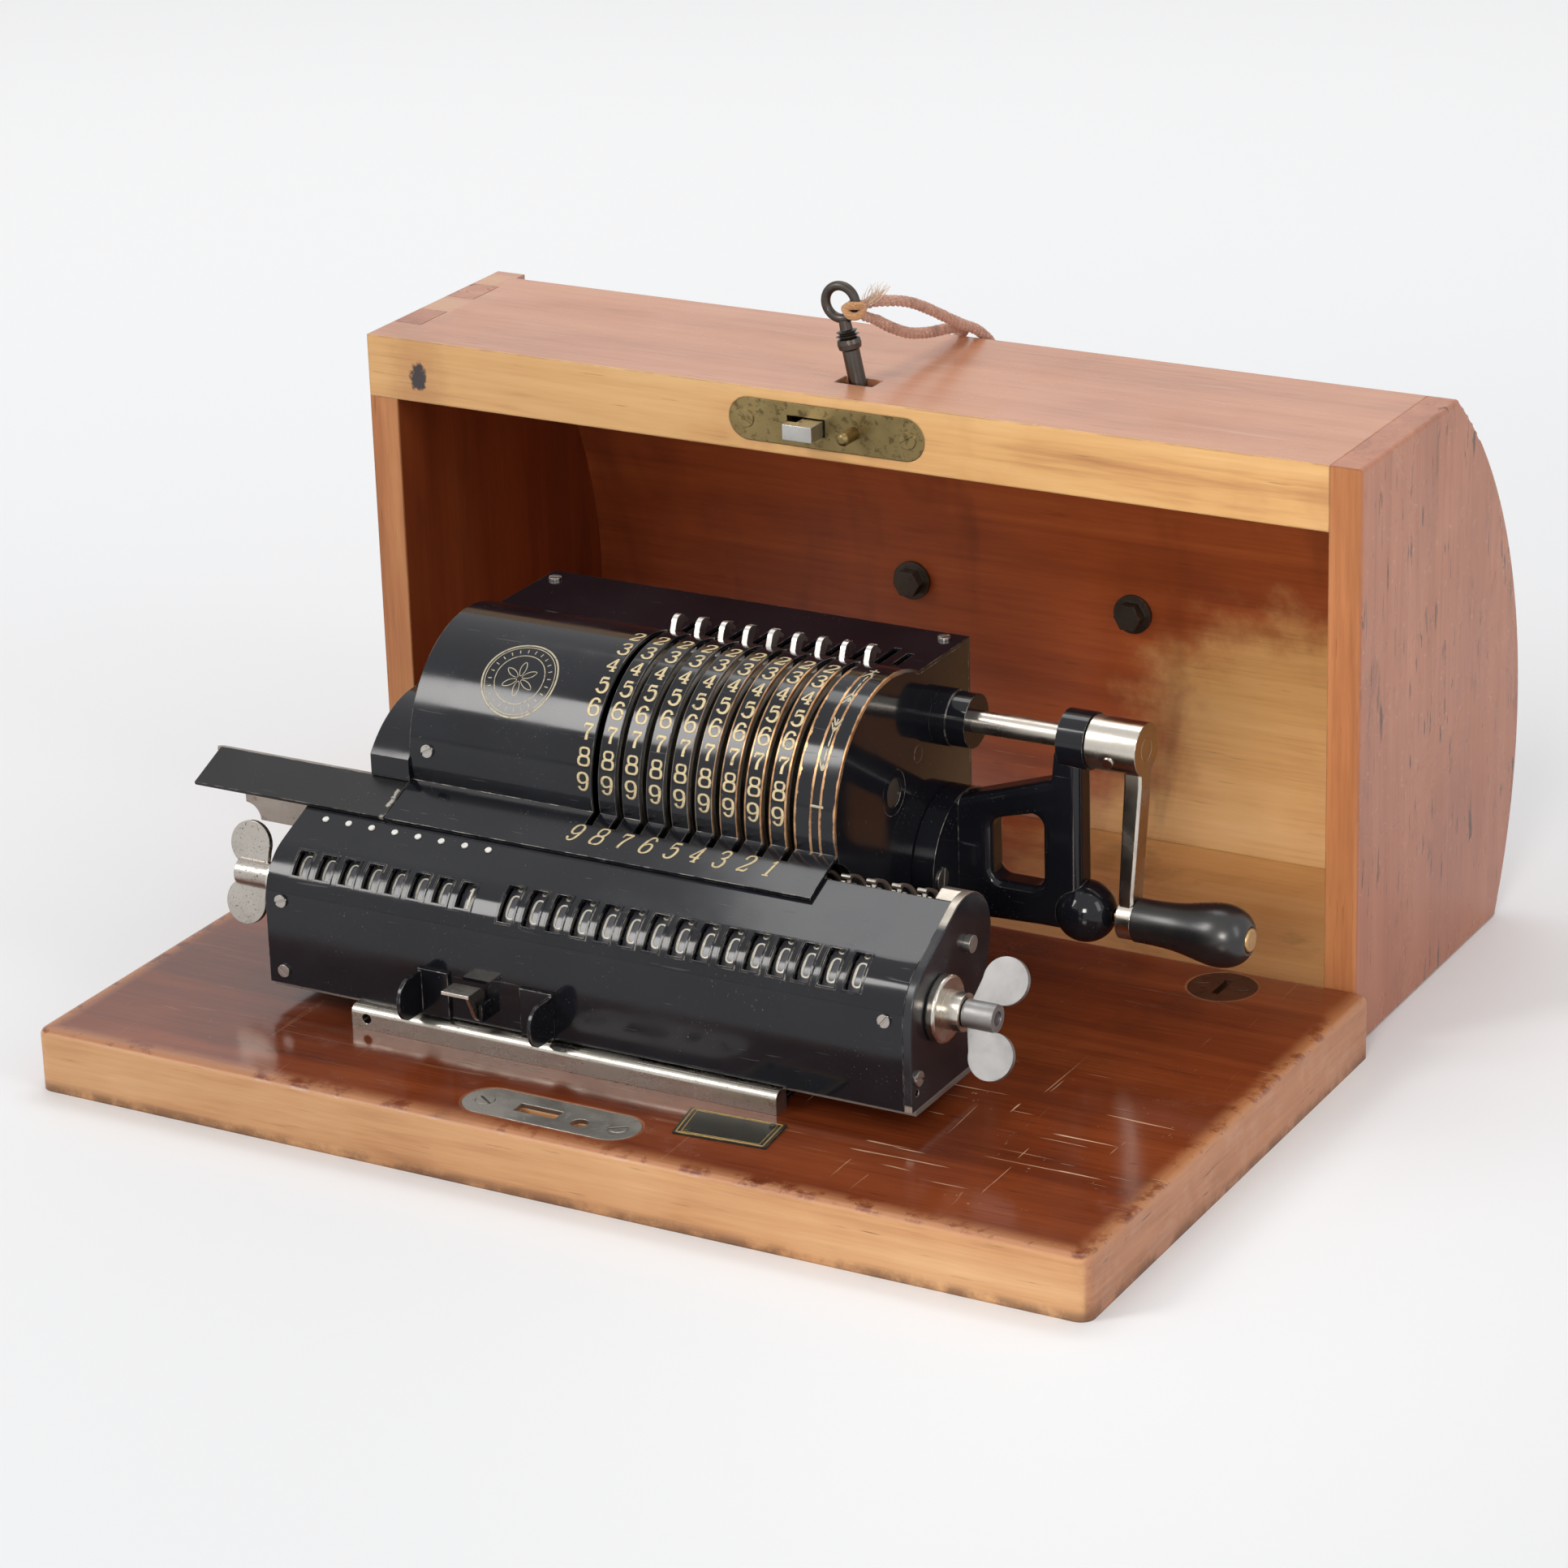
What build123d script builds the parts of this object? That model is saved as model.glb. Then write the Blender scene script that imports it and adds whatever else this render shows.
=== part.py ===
from build123d import *
import os
from math import acos, asin, atan2, cos, degrees, hypot, pi, radians, sin, sqrt, tan

os.makedirs("parts", exist_ok=True)

# A pinwheel calculating machine on its wooden base board, with the case cover standing behind it.
# Millimetres. X runs along the machine to the right, Y to the back, Z up from the floor.
# The origin is on the floor, under the middle of the whole object.

# ---------------------------------------------------------------- driving sizes
# base board and case cover
board_width = 400.0
board_depth = 222.0
board_height = 22.5
board_corner_radius = 5.0
board_edge_radius = 2.5
case_gap = 0.8
case_left_margin = 2.64
case_width = 391.1
case_height = 209.3
roof_radius = 169.2
roof_centre_depth = -20.6
roof_centre_height = 76.8
end_panel_thickness = 11.7
lock_panel_thickness = 23.2
roof_thickness = 12.0
back_panel_thickness = 10.0
finger_count = 6
case_travel = 150.0
ear_thickness = 2.0
bail_offset = 8.4
bail_block = 4.4
handle_spacing = 92.5
handle_drop = 30.0
handle_height = 93.5

# machine body
body_left_inset = 94.5
body_width = 166.0
frame_thickness = 4.0
sheet = 1.2
drum_depth = 140.5
drum_height = 102.5
cover_radius = 42.0
top_plate_height = 139.5
machine_rear = 197.5
apron_front = 80.8
apron_front_height = 87.0
apron_slope = 23.0
apron_clearance = 0.7
plate_floor = 1.6
rail_front = 49.0
rail_depth = 7.0
rail_height = 7.9
rail_left_overhang = -3.5
rail_right_overhang = 3.0
digit_pitch = 9.4
lever_count = 9
last_slot_inset = 16.8
slot_width = 2.9
slot_front = 93.5
slot_rear = 177.0

# drum
pinwheel_radius = 36.0
pinwheel_thickness = 4.6
pin_rise = 0.4
lever_hub_radius = 14.0
lever_ring_radius = 20.0
lever_thickness = 2.0
lever_tip_radius = 48.0
lever_angle = 67.5
digit_step = 11.75
drum_shaft_radius = 5.0

# crank
crank_depth = 176.3
crank_height = 117.9
crank_shaft_radius = 4.0
crank_throw = 62.2
crank_hub_radius = 9.25
crank_hub_left = 57.5
crank_hub_length = 18.7
arm_thickness = 5.4
arm_lean = 3.2
arm_width = 9.0
arm_boss_radius = 7.2
bushing_radius = 9.5
bushing_length = 13.0
bracket_ring_radius = 10.0
bracket_ring_length = 10.0
bracket_flange_radius = 25.0
bracket_flange_thickness = 8.5
bracket_flange_height = 67.0
bracket_arm_half_width = 6.0
stop_ball_radius = 10.8
stop_pin_radius = 2.2
stop_gap = 3.0
grip_length = 41.0
gear_teeth = 16
gear_width = 5.0
gear_side_gap = 0.8

# carriage
carriage_left_inset = 62.0
carriage_width = 246.3
carriage_front = 53.7
register_depth = 74.0
register_height = 60.3
carriage_cover_rear = 91.6
carriage_rail_gap = 0.6
transfer_depth = 94.4
transfer_height = 75.0
lobe_radius = 17.0
end_plate_thickness = 3.0
rim_width = 7.3
bottom_plate_thickness = 2.0
bottom_plate_rear = 98.4
result_count = 15
counter_count = 8
result_last_inset = 19.35
counter_first_inset = 12.4
window_width = 5.7
window_rim = 0.8
window_rim_rise = 0.35
wheel_radius = 17.5
wheel_width = 5.6
wheel_gear_offset = 3.95
wheel_gear_width = 1.6
wheel_gear_teeth = 20
register_shaft_radius = 2.5
transfer_shaft_radius = 3.0
carry_shaft_radius = 1.5
carry_inner_radius = 14.3
carry_outer_radius = 16.0
flange_radius = 11.5
flange_thickness = 3.7
collar_radius = 6.5
collar_length = 6.0
wing_hub_radius = 4.8
wing_hub_length = 11.0
wing_radius = 8.0
wing_thickness = 2.0

# left bay
bay_width = 15.5
bay_front = 97.4
bay_arc_depth = 127.4
bay_arc_radius = 38.0
bay_top = 117.0
bay_frame_thickness = 2.5
shelf_left_inset = 15.4
bracket_sheet = 1.5
bracket_wrap_radius = 18.2
bracket_foot = 62.0

# lock, key and string
lock_inset = 189.9
lock_plate_width = 77.0
lock_plate_height = 15.5
lock_plate_thickness = 1.6
key_depth = 20.6
key_lean = 12.0
key_shaft_radius = 3.1
key_bow_radius = 7.6
key_bow_wire = 1.7
key_bow_rise = 28.7
string_diameter = 4.0

# running and seating clearances
running = 0.05
slip = 0.15
free = 0.4

# ---------------------------------------------------------------- derived places
case_depth = roof_centre_depth + roof_radius
ear_height = 22.0
ear_seat_depth = roof_centre_depth + sqrt(
    roof_radius**2 - (handle_height - ear_height / 2 - roof_centre_height) ** 2
)
overall_depth = board_depth + case_gap + ear_seat_depth + ear_thickness + bail_offset
front = -overall_depth / 2
left = -board_width / 2
floor = board_height

body_left = left + body_left_inset
body_right = body_left + body_width
drum_y = front + drum_depth
rear_y = front + machine_rear
slot_xs = [
    body_right - last_slot_inset - digit_pitch * (lever_count - 1 - n) for n in range(lever_count)
]
slope = tan(radians(apron_slope))
slope_drop = sheet / cos(radians(apron_slope))
apron_y = front + apron_front

crank_y = front + crank_depth
grip_z = crank_height - crank_throw

cover_left = left + carriage_left_inset
cover_right = cover_left + carriage_width
register_y = front + register_depth
transfer_y = front + transfer_depth
cover_y = front + carriage_front
nose_radius = register_depth - carriage_front
rail_top = floor + rail_height
bottom_top = rail_top + free
cover_bottom = rail_top + carriage_rail_gap
result_xs = [
    cover_right - result_last_inset - digit_pitch * (result_count - 1 - n) for n in range(result_count)
]
counter_xs = [cover_left + counter_first_inset + digit_pitch * n for n in range(counter_count)]
partition_x = (counter_xs[-1] + result_xs[0]) / 2 - 1.0
wheel_gear_radius = hypot(transfer_depth - register_depth, transfer_height - register_height) / 2
mesh_angle = degrees(atan2(transfer_height - register_height, transfer_depth - register_depth))
carry_angle = -60.0
carry_y = transfer_y + 15.5 * cos(radians(carry_angle))
carry_z = transfer_height + 15.5 * sin(radians(carry_angle))

case_front = front + board_depth + case_gap
case_left = left + case_left_margin
case_right = case_left + case_width
lock_x = case_left + lock_inset
lock_z = case_height - lock_panel_thickness / 2 - 0.2
key_y = case_front + key_depth
key_x = lock_x + 2.2


# ---------------------------------------------------------------- small helpers
def block(x0, x1, y0, y1, z0, z1, mode=Mode.ADD):
    """A box between two corners."""
    with Locations(((x0 + x1) / 2, (y0 + y1) / 2, (z0 + z1) / 2)):
        Box(x1 - x0, y1 - y0, z1 - z0, mode=mode)


def rod(start, end, y, z, radius, mode=Mode.ADD):
    """A cylinder along X."""
    with BuildSketch(Plane.YZ.offset(start)) as profile:
        with Locations((y, z)):
            Circle(radius)
    extrude(profile.sketch, amount=end - start, mode=mode)


def post(x, y, bottom, top, radius, mode=Mode.ADD):
    """A cylinder along Z."""
    with BuildSketch(Plane.XY.offset(bottom)) as profile:
        with Locations((x, y)):
            Circle(radius)
    extrude(profile.sketch, amount=top - bottom, mode=mode)


def slotted_screw(seat, head_radius, head_height, length, shank_radius):
    """A slotted screw whose head stands on the seat plane and whose shank goes below it."""
    with BuildSketch(seat) as profile:
        Circle(head_radius)
    extrude(profile.sketch, amount=head_height)
    with BuildSketch(seat.offset(head_height)) as profile:
        Rectangle(head_radius * 2.2, head_radius * 0.3)
    extrude(profile.sketch, amount=-head_height * 0.6, mode=Mode.SUBTRACT)
    with BuildSketch(seat) as profile:
        Circle(shank_radius)
    extrude(profile.sketch, amount=-length)


def polar(y, z, radius, angle):
    """A point in the YZ plane at an angle from +Y about a centre."""
    return (y + radius * cos(radians(angle)), z + radius * sin(radians(angle)))


def gear_points(pitch_radius, teeth, addendum, dedendum, tooth_angle):
    """Corners of a gear with straight-sided teeth, one tooth centred on tooth_angle."""
    pitch_angle = 360 / teeth
    points = []
    for tooth in range(teeth):
        middle = tooth_angle + tooth * pitch_angle
        for share, radius in (
            (-0.27, pitch_radius - dedendum),
            (-0.11, pitch_radius + addendum),
            (0.11, pitch_radius + addendum),
            (0.27, pitch_radius - dedendum),
        ):
            angle = radians(middle + share * pitch_angle)
            points.append((radius * cos(angle), radius * sin(angle)))
    return points


def gear(start, width, y, z, points):
    """A gear about an axis along X."""
    with BuildSketch(Plane.YZ.offset(start)) as profile:
        with Locations((y, z)):
            Polygon(*points, align=None)
    extrude(profile.sketch, amount=width)


def line_meets_circle(y, z, radius, y0, z0, steepness):
    """Front crossing of a sloping line with a circle, in the YZ plane."""
    offset_z = z0 - z + steepness * (y - y0)
    a = 1 + steepness**2
    b = 2 * steepness * offset_z
    c = offset_z**2 - radius**2
    step = (-b - sqrt(b * b - 4 * a * c)) / (2 * a)
    return (y + step, z + offset_z + steepness * step)


# ---------------------------------------------------------------- base board
strike_x = left + 196.0
strike_y = front + 18.5
strike_size = (66.0, 19.0, 1.6)
disc_x = left + 351.6
disc_y = front + 206.0
disc_radius = 12.0
disc_thickness = 3.0
label_corners = [(239.4, 22.6), (235.8, 41.4), (270.8, 43.1), (272.7, 25.1)]
label_thickness = 0.8

with BuildPart() as base_board:
    with BuildSketch(Plane.XY):
        with Locations((left + board_width / 2, front + board_depth / 2)):
            RectangleRounded(board_width, board_depth, board_corner_radius)
    extrude(amount=board_height)
    fillet(base_board.faces().sort_by(Axis.Z)[-1].edges(), board_edge_radius)
    with BuildSketch(Plane.XY.offset(floor - strike_size[2])):
        with Locations((strike_x, strike_y)):
            SlotOverall(strike_size[0] + 2 * slip, strike_size[1] + 2 * slip)
    extrude(amount=strike_size[2] + 1, mode=Mode.SUBTRACT)
    block(strike_x - 13, strike_x + 3, strike_y - 3, strike_y + 3, floor - 14, floor, mode=Mode.SUBTRACT)
    post(strike_x + 12, strike_y - 2, floor - 12, floor, 3.0, mode=Mode.SUBTRACT)
    for side in (-1, 1):
        post(strike_x + side * 25.5, strike_y, floor - 12, floor, 1.5, mode=Mode.SUBTRACT)
        post(disc_x + side * 7.5, disc_y, floor - 12, floor, 1.5, mode=Mode.SUBTRACT)
    post(disc_x, disc_y, floor - disc_thickness, floor + 1, disc_radius + slip, mode=Mode.SUBTRACT)
base_board.part.label = "base_board"
export_step(base_board.part, "parts/base_board.step")

with BuildPart() as strike_plate:
    with BuildSketch(Plane.XY.offset(floor - strike_size[2])):
        with Locations((strike_x, strike_y)):
            SlotOverall(strike_size[0], strike_size[1])
    extrude(amount=strike_size[2])
    block(strike_x - 13, strike_x + 3, strike_y - 3, strike_y + 3, floor - 3, floor + 1, mode=Mode.SUBTRACT)
    post(strike_x + 12, strike_y - 2, floor - 3, floor + 1, 3.0, mode=Mode.SUBTRACT)
    for side in (-1, 1):
        post(strike_x + side * 25.5, strike_y, floor - 3, floor + 1, 3.4, mode=Mode.SUBTRACT)
    for side in (-1, 1):
        seat = Plane((strike_x + side * 25.5, strike_y, floor - strike_size[2]), x_dir=(1, side * 0.7, 0))
        slotted_screw(seat, 3.3, strike_size[2] + 0.2, 10.0, 1.45)
strike_plate.part.label = "strike_plate"
export_step(strike_plate.part, "parts/strike_plate.step")

with BuildPart() as label_plate:
    with BuildSketch(Plane.XY.offset(floor)):
        Polygon(*[(left + x, front + y) for x, y in label_corners], align=None)
    extrude(amount=label_thickness)
    for n in (0, 2):
        x = left + 0.88 * label_corners[n][0] + 0.12 * label_corners[2 - n][0]
        y = front + 0.85 * label_corners[n][1] + 0.15 * label_corners[2 - n][1]
        post(x, y, floor + label_thickness, floor + label_thickness + 0.6, 1.1)
label_plate.part.label = "label_plate"
export_step(label_plate.part, "parts/label_plate.step")

with BuildPart() as floor_disc:
    post(disc_x, disc_y, floor - disc_thickness, floor, disc_radius)
    block(disc_x - 1.3, disc_x + 1.3, disc_y - 6.5, disc_y + 6.5, floor - 2, floor + 1, mode=Mode.SUBTRACT)
    for side in (-1, 1):
        post(disc_x + side * 7.5, disc_y, floor - disc_thickness, floor + 1, 2.7, mode=Mode.SUBTRACT)
    for side in (-1, 1):
        seat = Plane((disc_x + side * 7.5, disc_y, floor - disc_thickness), x_dir=(1, 0.5, 0))
        slotted_screw(seat, 2.6, disc_thickness, 8.0, 1.45)
floor_disc.part.label = "floor_disc"
export_step(floor_disc.part, "parts/floor_disc.step")

# ---------------------------------------------------------------- machine body
with BuildPart() as front_rail:
    with BuildSketch(Plane.YZ.offset(body_left - rail_left_overhang)):
        with Locations((front + rail_front + rail_depth / 2, floor + rail_height / 2)):
            rail_profile = Rectangle(rail_depth, rail_height)
        fillet(rail_profile.vertices().group_by(Axis.Y)[-1].sort_by(Axis.X)[0], 2.6)
    extrude(amount=body_width + rail_left_overhang + rail_right_overhang)
    with BuildSketch(Plane.XZ.offset(-(front + rail_front))):
        with Locations((body_left - rail_left_overhang + 6, floor + rail_height / 2)):
            Circle(1.8)
    extrude(amount=-rail_depth, mode=Mode.SUBTRACT)
front_rail.part.label = "front_rail"
export_step(front_rail.part, "parts/front_rail.step")

rail_back = front + rail_front + rail_depth
bay_left = body_left - bay_width
bay_clear_y = transfer_y + bracket_wrap_radius

with BuildPart() as base_plate:
    block(body_left, body_right, rail_back, rear_y, floor, floor + plate_floor)
    block(bay_left, body_left, bay_clear_y, rear_y, floor, floor + plate_floor)
base_plate.part.label = "base_plate"
export_step(base_plate.part, "parts/base_plate.step")

guide_y = front + bottom_plate_rear + free
with BuildPart() as rear_guide:
    with BuildSketch(Plane.YZ.offset(body_left + frame_thickness)):
        Polygon(
            (guide_y, floor + plate_floor),
            (guide_y + 3, floor + plate_floor),
            (guide_y + 3, bottom_top + free + 1.6),
            (guide_y - 2.4, bottom_top + free + 1.6),
            (guide_y - 2.4, bottom_top + free),
            (guide_y, bottom_top + free),
            align=None,
        )
    extrude(amount=body_width - 2 * frame_thickness)
rear_guide.part.label = "rear_guide"
export_step(rear_guide.part, "parts/rear_guide.step")

cheek_front = transfer_y + carry_outer_radius - 0.9
cheek_radius = cover_radius - sheet
cheek_notch = carry_outer_radius + 1.6
idler_y = (drum_y + crank_y) / 2
idler_z = (drum_height + crank_height) / 2
bearing_radius = drum_shaft_radius + 3.0
stud_radius = 3.0


def side_frame(start):
    """One side frame: a disc under the drum cover joined to a body that stands on the base plate."""
    with BuildSketch(Plane.YZ.offset(start)) as profile:
        with Locations((drum_y, drum_height)):
            Circle(cheek_radius)
        Polygon(
            (cheek_front, floor + plate_floor),
            (rear_y - sheet, floor + plate_floor),
            (rear_y - sheet, top_plate_height - sheet),
            (drum_y + sqrt(cheek_radius**2 - (top_plate_height - sheet - drum_height) ** 2),
             top_plate_height - sheet),
            (drum_y, drum_height),
            (cheek_front, drum_height - 20),
            align=None,
        )
        with Locations((transfer_y, transfer_height)):
            Circle(cheek_notch, mode=Mode.SUBTRACT)
        with Locations((drum_y, drum_height)):
            Circle(bearing_radius, mode=Mode.SUBTRACT)
    extrude(profile.sketch, amount=frame_thickness)


with BuildPart() as side_frame_left:
    side_frame(body_left)
side_frame_left.part.label = "side_frame_left"
export_step(side_frame_left.part, "parts/side_frame_left.step")

with BuildPart() as side_frame_right:
    side_frame(body_right - frame_thickness)
    rod(body_right - frame_thickness, body_right, crank_y, crank_height, bushing_radius - 2, mode=Mode.SUBTRACT)
    rod(body_right - frame_thickness, body_right, idler_y, idler_z, stud_radius, mode=Mode.SUBTRACT)
side_frame_right.part.label = "side_frame_right"
export_step(side_frame_right.part, "parts/side_frame_right.step")

# drum cover: arc, flat top and sloping apron are one bent sheet with nine setting slots
top_join_y = drum_y + sqrt(cover_radius**2 - (top_plate_height - drum_height) ** 2)
inner_join_y = drum_y + sqrt(cheek_radius**2 - (top_plate_height - sheet - drum_height) ** 2)
root_outer = line_meets_circle(drum_y, drum_height, cover_radius, apron_y, apron_front_height, slope)
root_inner = line_meets_circle(drum_y, drum_height, cheek_radius, apron_y, apron_front_height - slope_drop, slope)
with BuildPart() as drum_cover:
    with BuildSketch(Plane.YZ.offset(body_left)):
        with BuildLine():
            outer_arc = ThreePointArc(
                (top_join_y, top_plate_height), polar(drum_y, drum_height, cover_radius, 130), root_outer
            )
            Polyline(
                outer_arc @ 1,
                (apron_y, apron_front_height),
                (apron_y + 0.4, apron_front_height - slope_drop + 0.4 * slope),
                root_inner,
            )
            ThreePointArc(
                root_inner,
                polar(drum_y, drum_height, cheek_radius, 130),
                (inner_join_y, top_plate_height - sheet),
            )
            Polyline(
                (inner_join_y, top_plate_height - sheet),
                (rear_y, top_plate_height - sheet),
                (rear_y, top_plate_height),
                (top_join_y, top_plate_height),
            )
        make_face()
    extrude(amount=body_width)
    for slot_x in slot_xs:
        block(
            slot_x - slot_width / 2,
            slot_x + slot_width / 2,
            front + slot_front,
            front + slot_rear,
            apron_front_height,
            drum_height + cover_radius + 1,
            mode=Mode.SUBTRACT,
        )
    block(
        body_right - 11.5,
        body_right - 9.0,
        front + 162,
        front + 174,
        top_plate_height - 3,
        top_plate_height + 1,
        mode=Mode.SUBTRACT,
    )
drum_cover.part.label = "drum_cover"
export_step(drum_cover.part, "parts/drum_cover.step")

with BuildPart() as rear_cover:
    block(body_left, body_right, rear_y - sheet, rear_y, floor + plate_floor, top_plate_height - sheet)
    block(bay_left, body_left, rear_y - sheet, rear_y, floor + plate_floor, bay_top - sheet)
rear_cover.part.label = "rear_cover"
export_step(rear_cover.part, "parts/rear_cover.step")

# bay at the left of the body, and the shelf and bracket over the carriage's left end
shelf_left = left + shelf_left_inset
shelf_right = body_left - free
wrap_start = 79.0
bay_arc_z = bay_top - bay_arc_radius
bay_front_y = front + bay_front
bay_arc_y = front + bay_arc_depth
shelf_root_top = polar(transfer_y, transfer_height, bracket_wrap_radius + bracket_sheet, wrap_start)
shelf_root_low = polar(transfer_y, transfer_height, bracket_wrap_radius, wrap_start)
bay_foot_z = apron_front_height + slope * (bay_front_y + sheet - apron_y)
bay_front_z = bay_arc_z + sqrt(bay_arc_radius**2 - (bay_arc_y - bay_front_y) ** 2)

with BuildPart() as left_shell:
    with BuildSketch(Plane.YZ.offset(bay_left)):
        with BuildLine():
            Polyline((bay_front_y, bay_foot_z), (bay_front_y, bay_front_z))
            ThreePointArc(
                (bay_front_y, bay_front_z),
                polar(bay_arc_y, bay_arc_z, bay_arc_radius, 120),
                (bay_arc_y, bay_top),
            )
            Polyline(
                (bay_arc_y, bay_top),
                (rear_y, bay_top),
                (rear_y, bay_top - sheet),
                (bay_arc_y, bay_top - sheet),
            )
            inner_radius = bay_arc_radius - sheet
            inner_front_z = bay_arc_z + sqrt(inner_radius**2 - (bay_arc_y - bay_front_y - sheet) ** 2)
            ThreePointArc(
                (bay_arc_y, bay_top - sheet),
                polar(bay_arc_y, bay_arc_z, inner_radius, 120),
                (bay_front_y + sheet, inner_front_z),
            )
            Polyline(
                (bay_front_y + sheet, inner_front_z),
                (bay_front_y + sheet, bay_foot_z),
                (bay_front_y, bay_foot_z),
            )
        make_face()
    extrude(amount=bay_width)
    with BuildSketch(Plane.YZ.offset(bay_left)) as bay_frame_profile:
        with BuildLine():
            Polyline(
                (bay_clear_y, floor + plate_floor),
                (bay_clear_y, transfer_height),
            )
            ThreePointArc(
                (bay_clear_y, transfer_height),
                polar(transfer_y, transfer_height, bracket_wrap_radius, 40),
                polar(transfer_y, transfer_height, bracket_wrap_radius, 75),
            )
            Polyline(
                polar(transfer_y, transfer_height, bracket_wrap_radius, 75),
                (bay_front_y + sheet + slip, inner_front_z - 1.5),
                (bay_front_y + sheet + slip, inner_front_z),
            )
            ThreePointArc(
                (bay_front_y + sheet + slip, inner_front_z),
                polar(bay_arc_y, bay_arc_z, inner_radius - slip, 120),
                (bay_arc_y, bay_top - sheet - slip),
            )
            Polyline(
                (bay_arc_y, bay_top - sheet - slip),
                (rear_y - sheet, bay_top - sheet - slip),
                (rear_y - sheet, floor + plate_floor),
                (bay_clear_y, floor + plate_floor),
            )
        make_face()
    extrude(amount=bay_frame_thickness)
left_shell.part.label = "left_shell"
export_step(left_shell.part, "parts/left_shell.step")

with BuildPart() as dust_shelf:
    with BuildSketch(Plane.YZ.offset(shelf_left)):
        Polygon(
            (apron_y + 0.2, apron_front_height + 0.2 * slope),
            shelf_root_top,
            shelf_root_low,
            (apron_y + 0.6, apron_front_height - slope_drop + 0.6 * slope),
            align=None,
        )
    extrude(amount=shelf_right - shelf_left)
dust_shelf.part.label = "dust_shelf"
export_step(dust_shelf.part, "parts/dust_shelf.step")

with BuildPart() as shelf_bracket:
    with BuildSketch(Plane.YZ.offset(shelf_left - 1.4)):
        with BuildLine():
            ThreePointArc(
                shelf_root_top,
                polar(transfer_y, transfer_height, bracket_wrap_radius + bracket_sheet, 40),
                (transfer_y + bracket_wrap_radius + bracket_sheet, transfer_height),
            )
            Polyline(
                (transfer_y + bracket_wrap_radius + bracket_sheet, transfer_height),
                (transfer_y + bracket_wrap_radius + bracket_sheet, bracket_foot),
                (transfer_y + bracket_wrap_radius, bracket_foot),
                (transfer_y + bracket_wrap_radius, transfer_height),
            )
            ThreePointArc(
                (transfer_y + bracket_wrap_radius, transfer_height),
                polar(transfer_y, transfer_height, bracket_wrap_radius, 40),
                shelf_root_low,
            )
            Line(shelf_root_low, shelf_root_top)
        make_face()
    extrude(amount=bay_left - shelf_left + 1.4)
    with BuildSketch(Plane.XZ.offset(-(transfer_y + bracket_wrap_radius + 3))):
        with Locations((shelf_left - 1.4, bracket_foot)):
            Circle(6)
    extrude(amount=6, mode=Mode.SUBTRACT)
shelf_bracket.part.label = "shelf_bracket"
export_step(shelf_bracket.part, "parts/shelf_bracket.step")

# bearings: two for the drum shaft, the idler's stud and the crank bushing
crank_x = body_right
bushing_end = crank_x + bushing_length
hub_left = crank_x + crank_hub_left + 0.3
hub_right = hub_left + crank_hub_length
gear_left = body_right - frame_thickness - gear_side_gap - gear_width
drum_end_gap = 0.4
with BuildPart() as shaft_bearings:
    rod(body_left, body_left + frame_thickness, drum_y, drum_height, bearing_radius)
    rod(body_right - frame_thickness, body_right, drum_y, drum_height, bearing_radius)
    rod(body_left, body_right, drum_y, drum_height, drum_shaft_radius + running, mode=Mode.SUBTRACT)
    rod(crank_x - frame_thickness, crank_x, crank_y, crank_height, bushing_radius - 2)
    rod(crank_x, crank_x + bushing_length * 0.45, crank_y, crank_height, bushing_radius + 0.5)
    rod(crank_x + bushing_length * 0.45, bushing_end, crank_y, crank_height, bushing_radius)
    rod(crank_x - frame_thickness, bushing_end, crank_y, crank_height, crank_shaft_radius + running, mode=Mode.SUBTRACT)
    rod(gear_left - free, body_right, idler_y, idler_z, stud_radius)
shaft_bearings.part.label = "shaft_bearings"
export_step(shaft_bearings.part, "parts/shaft_bearings.step")

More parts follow.
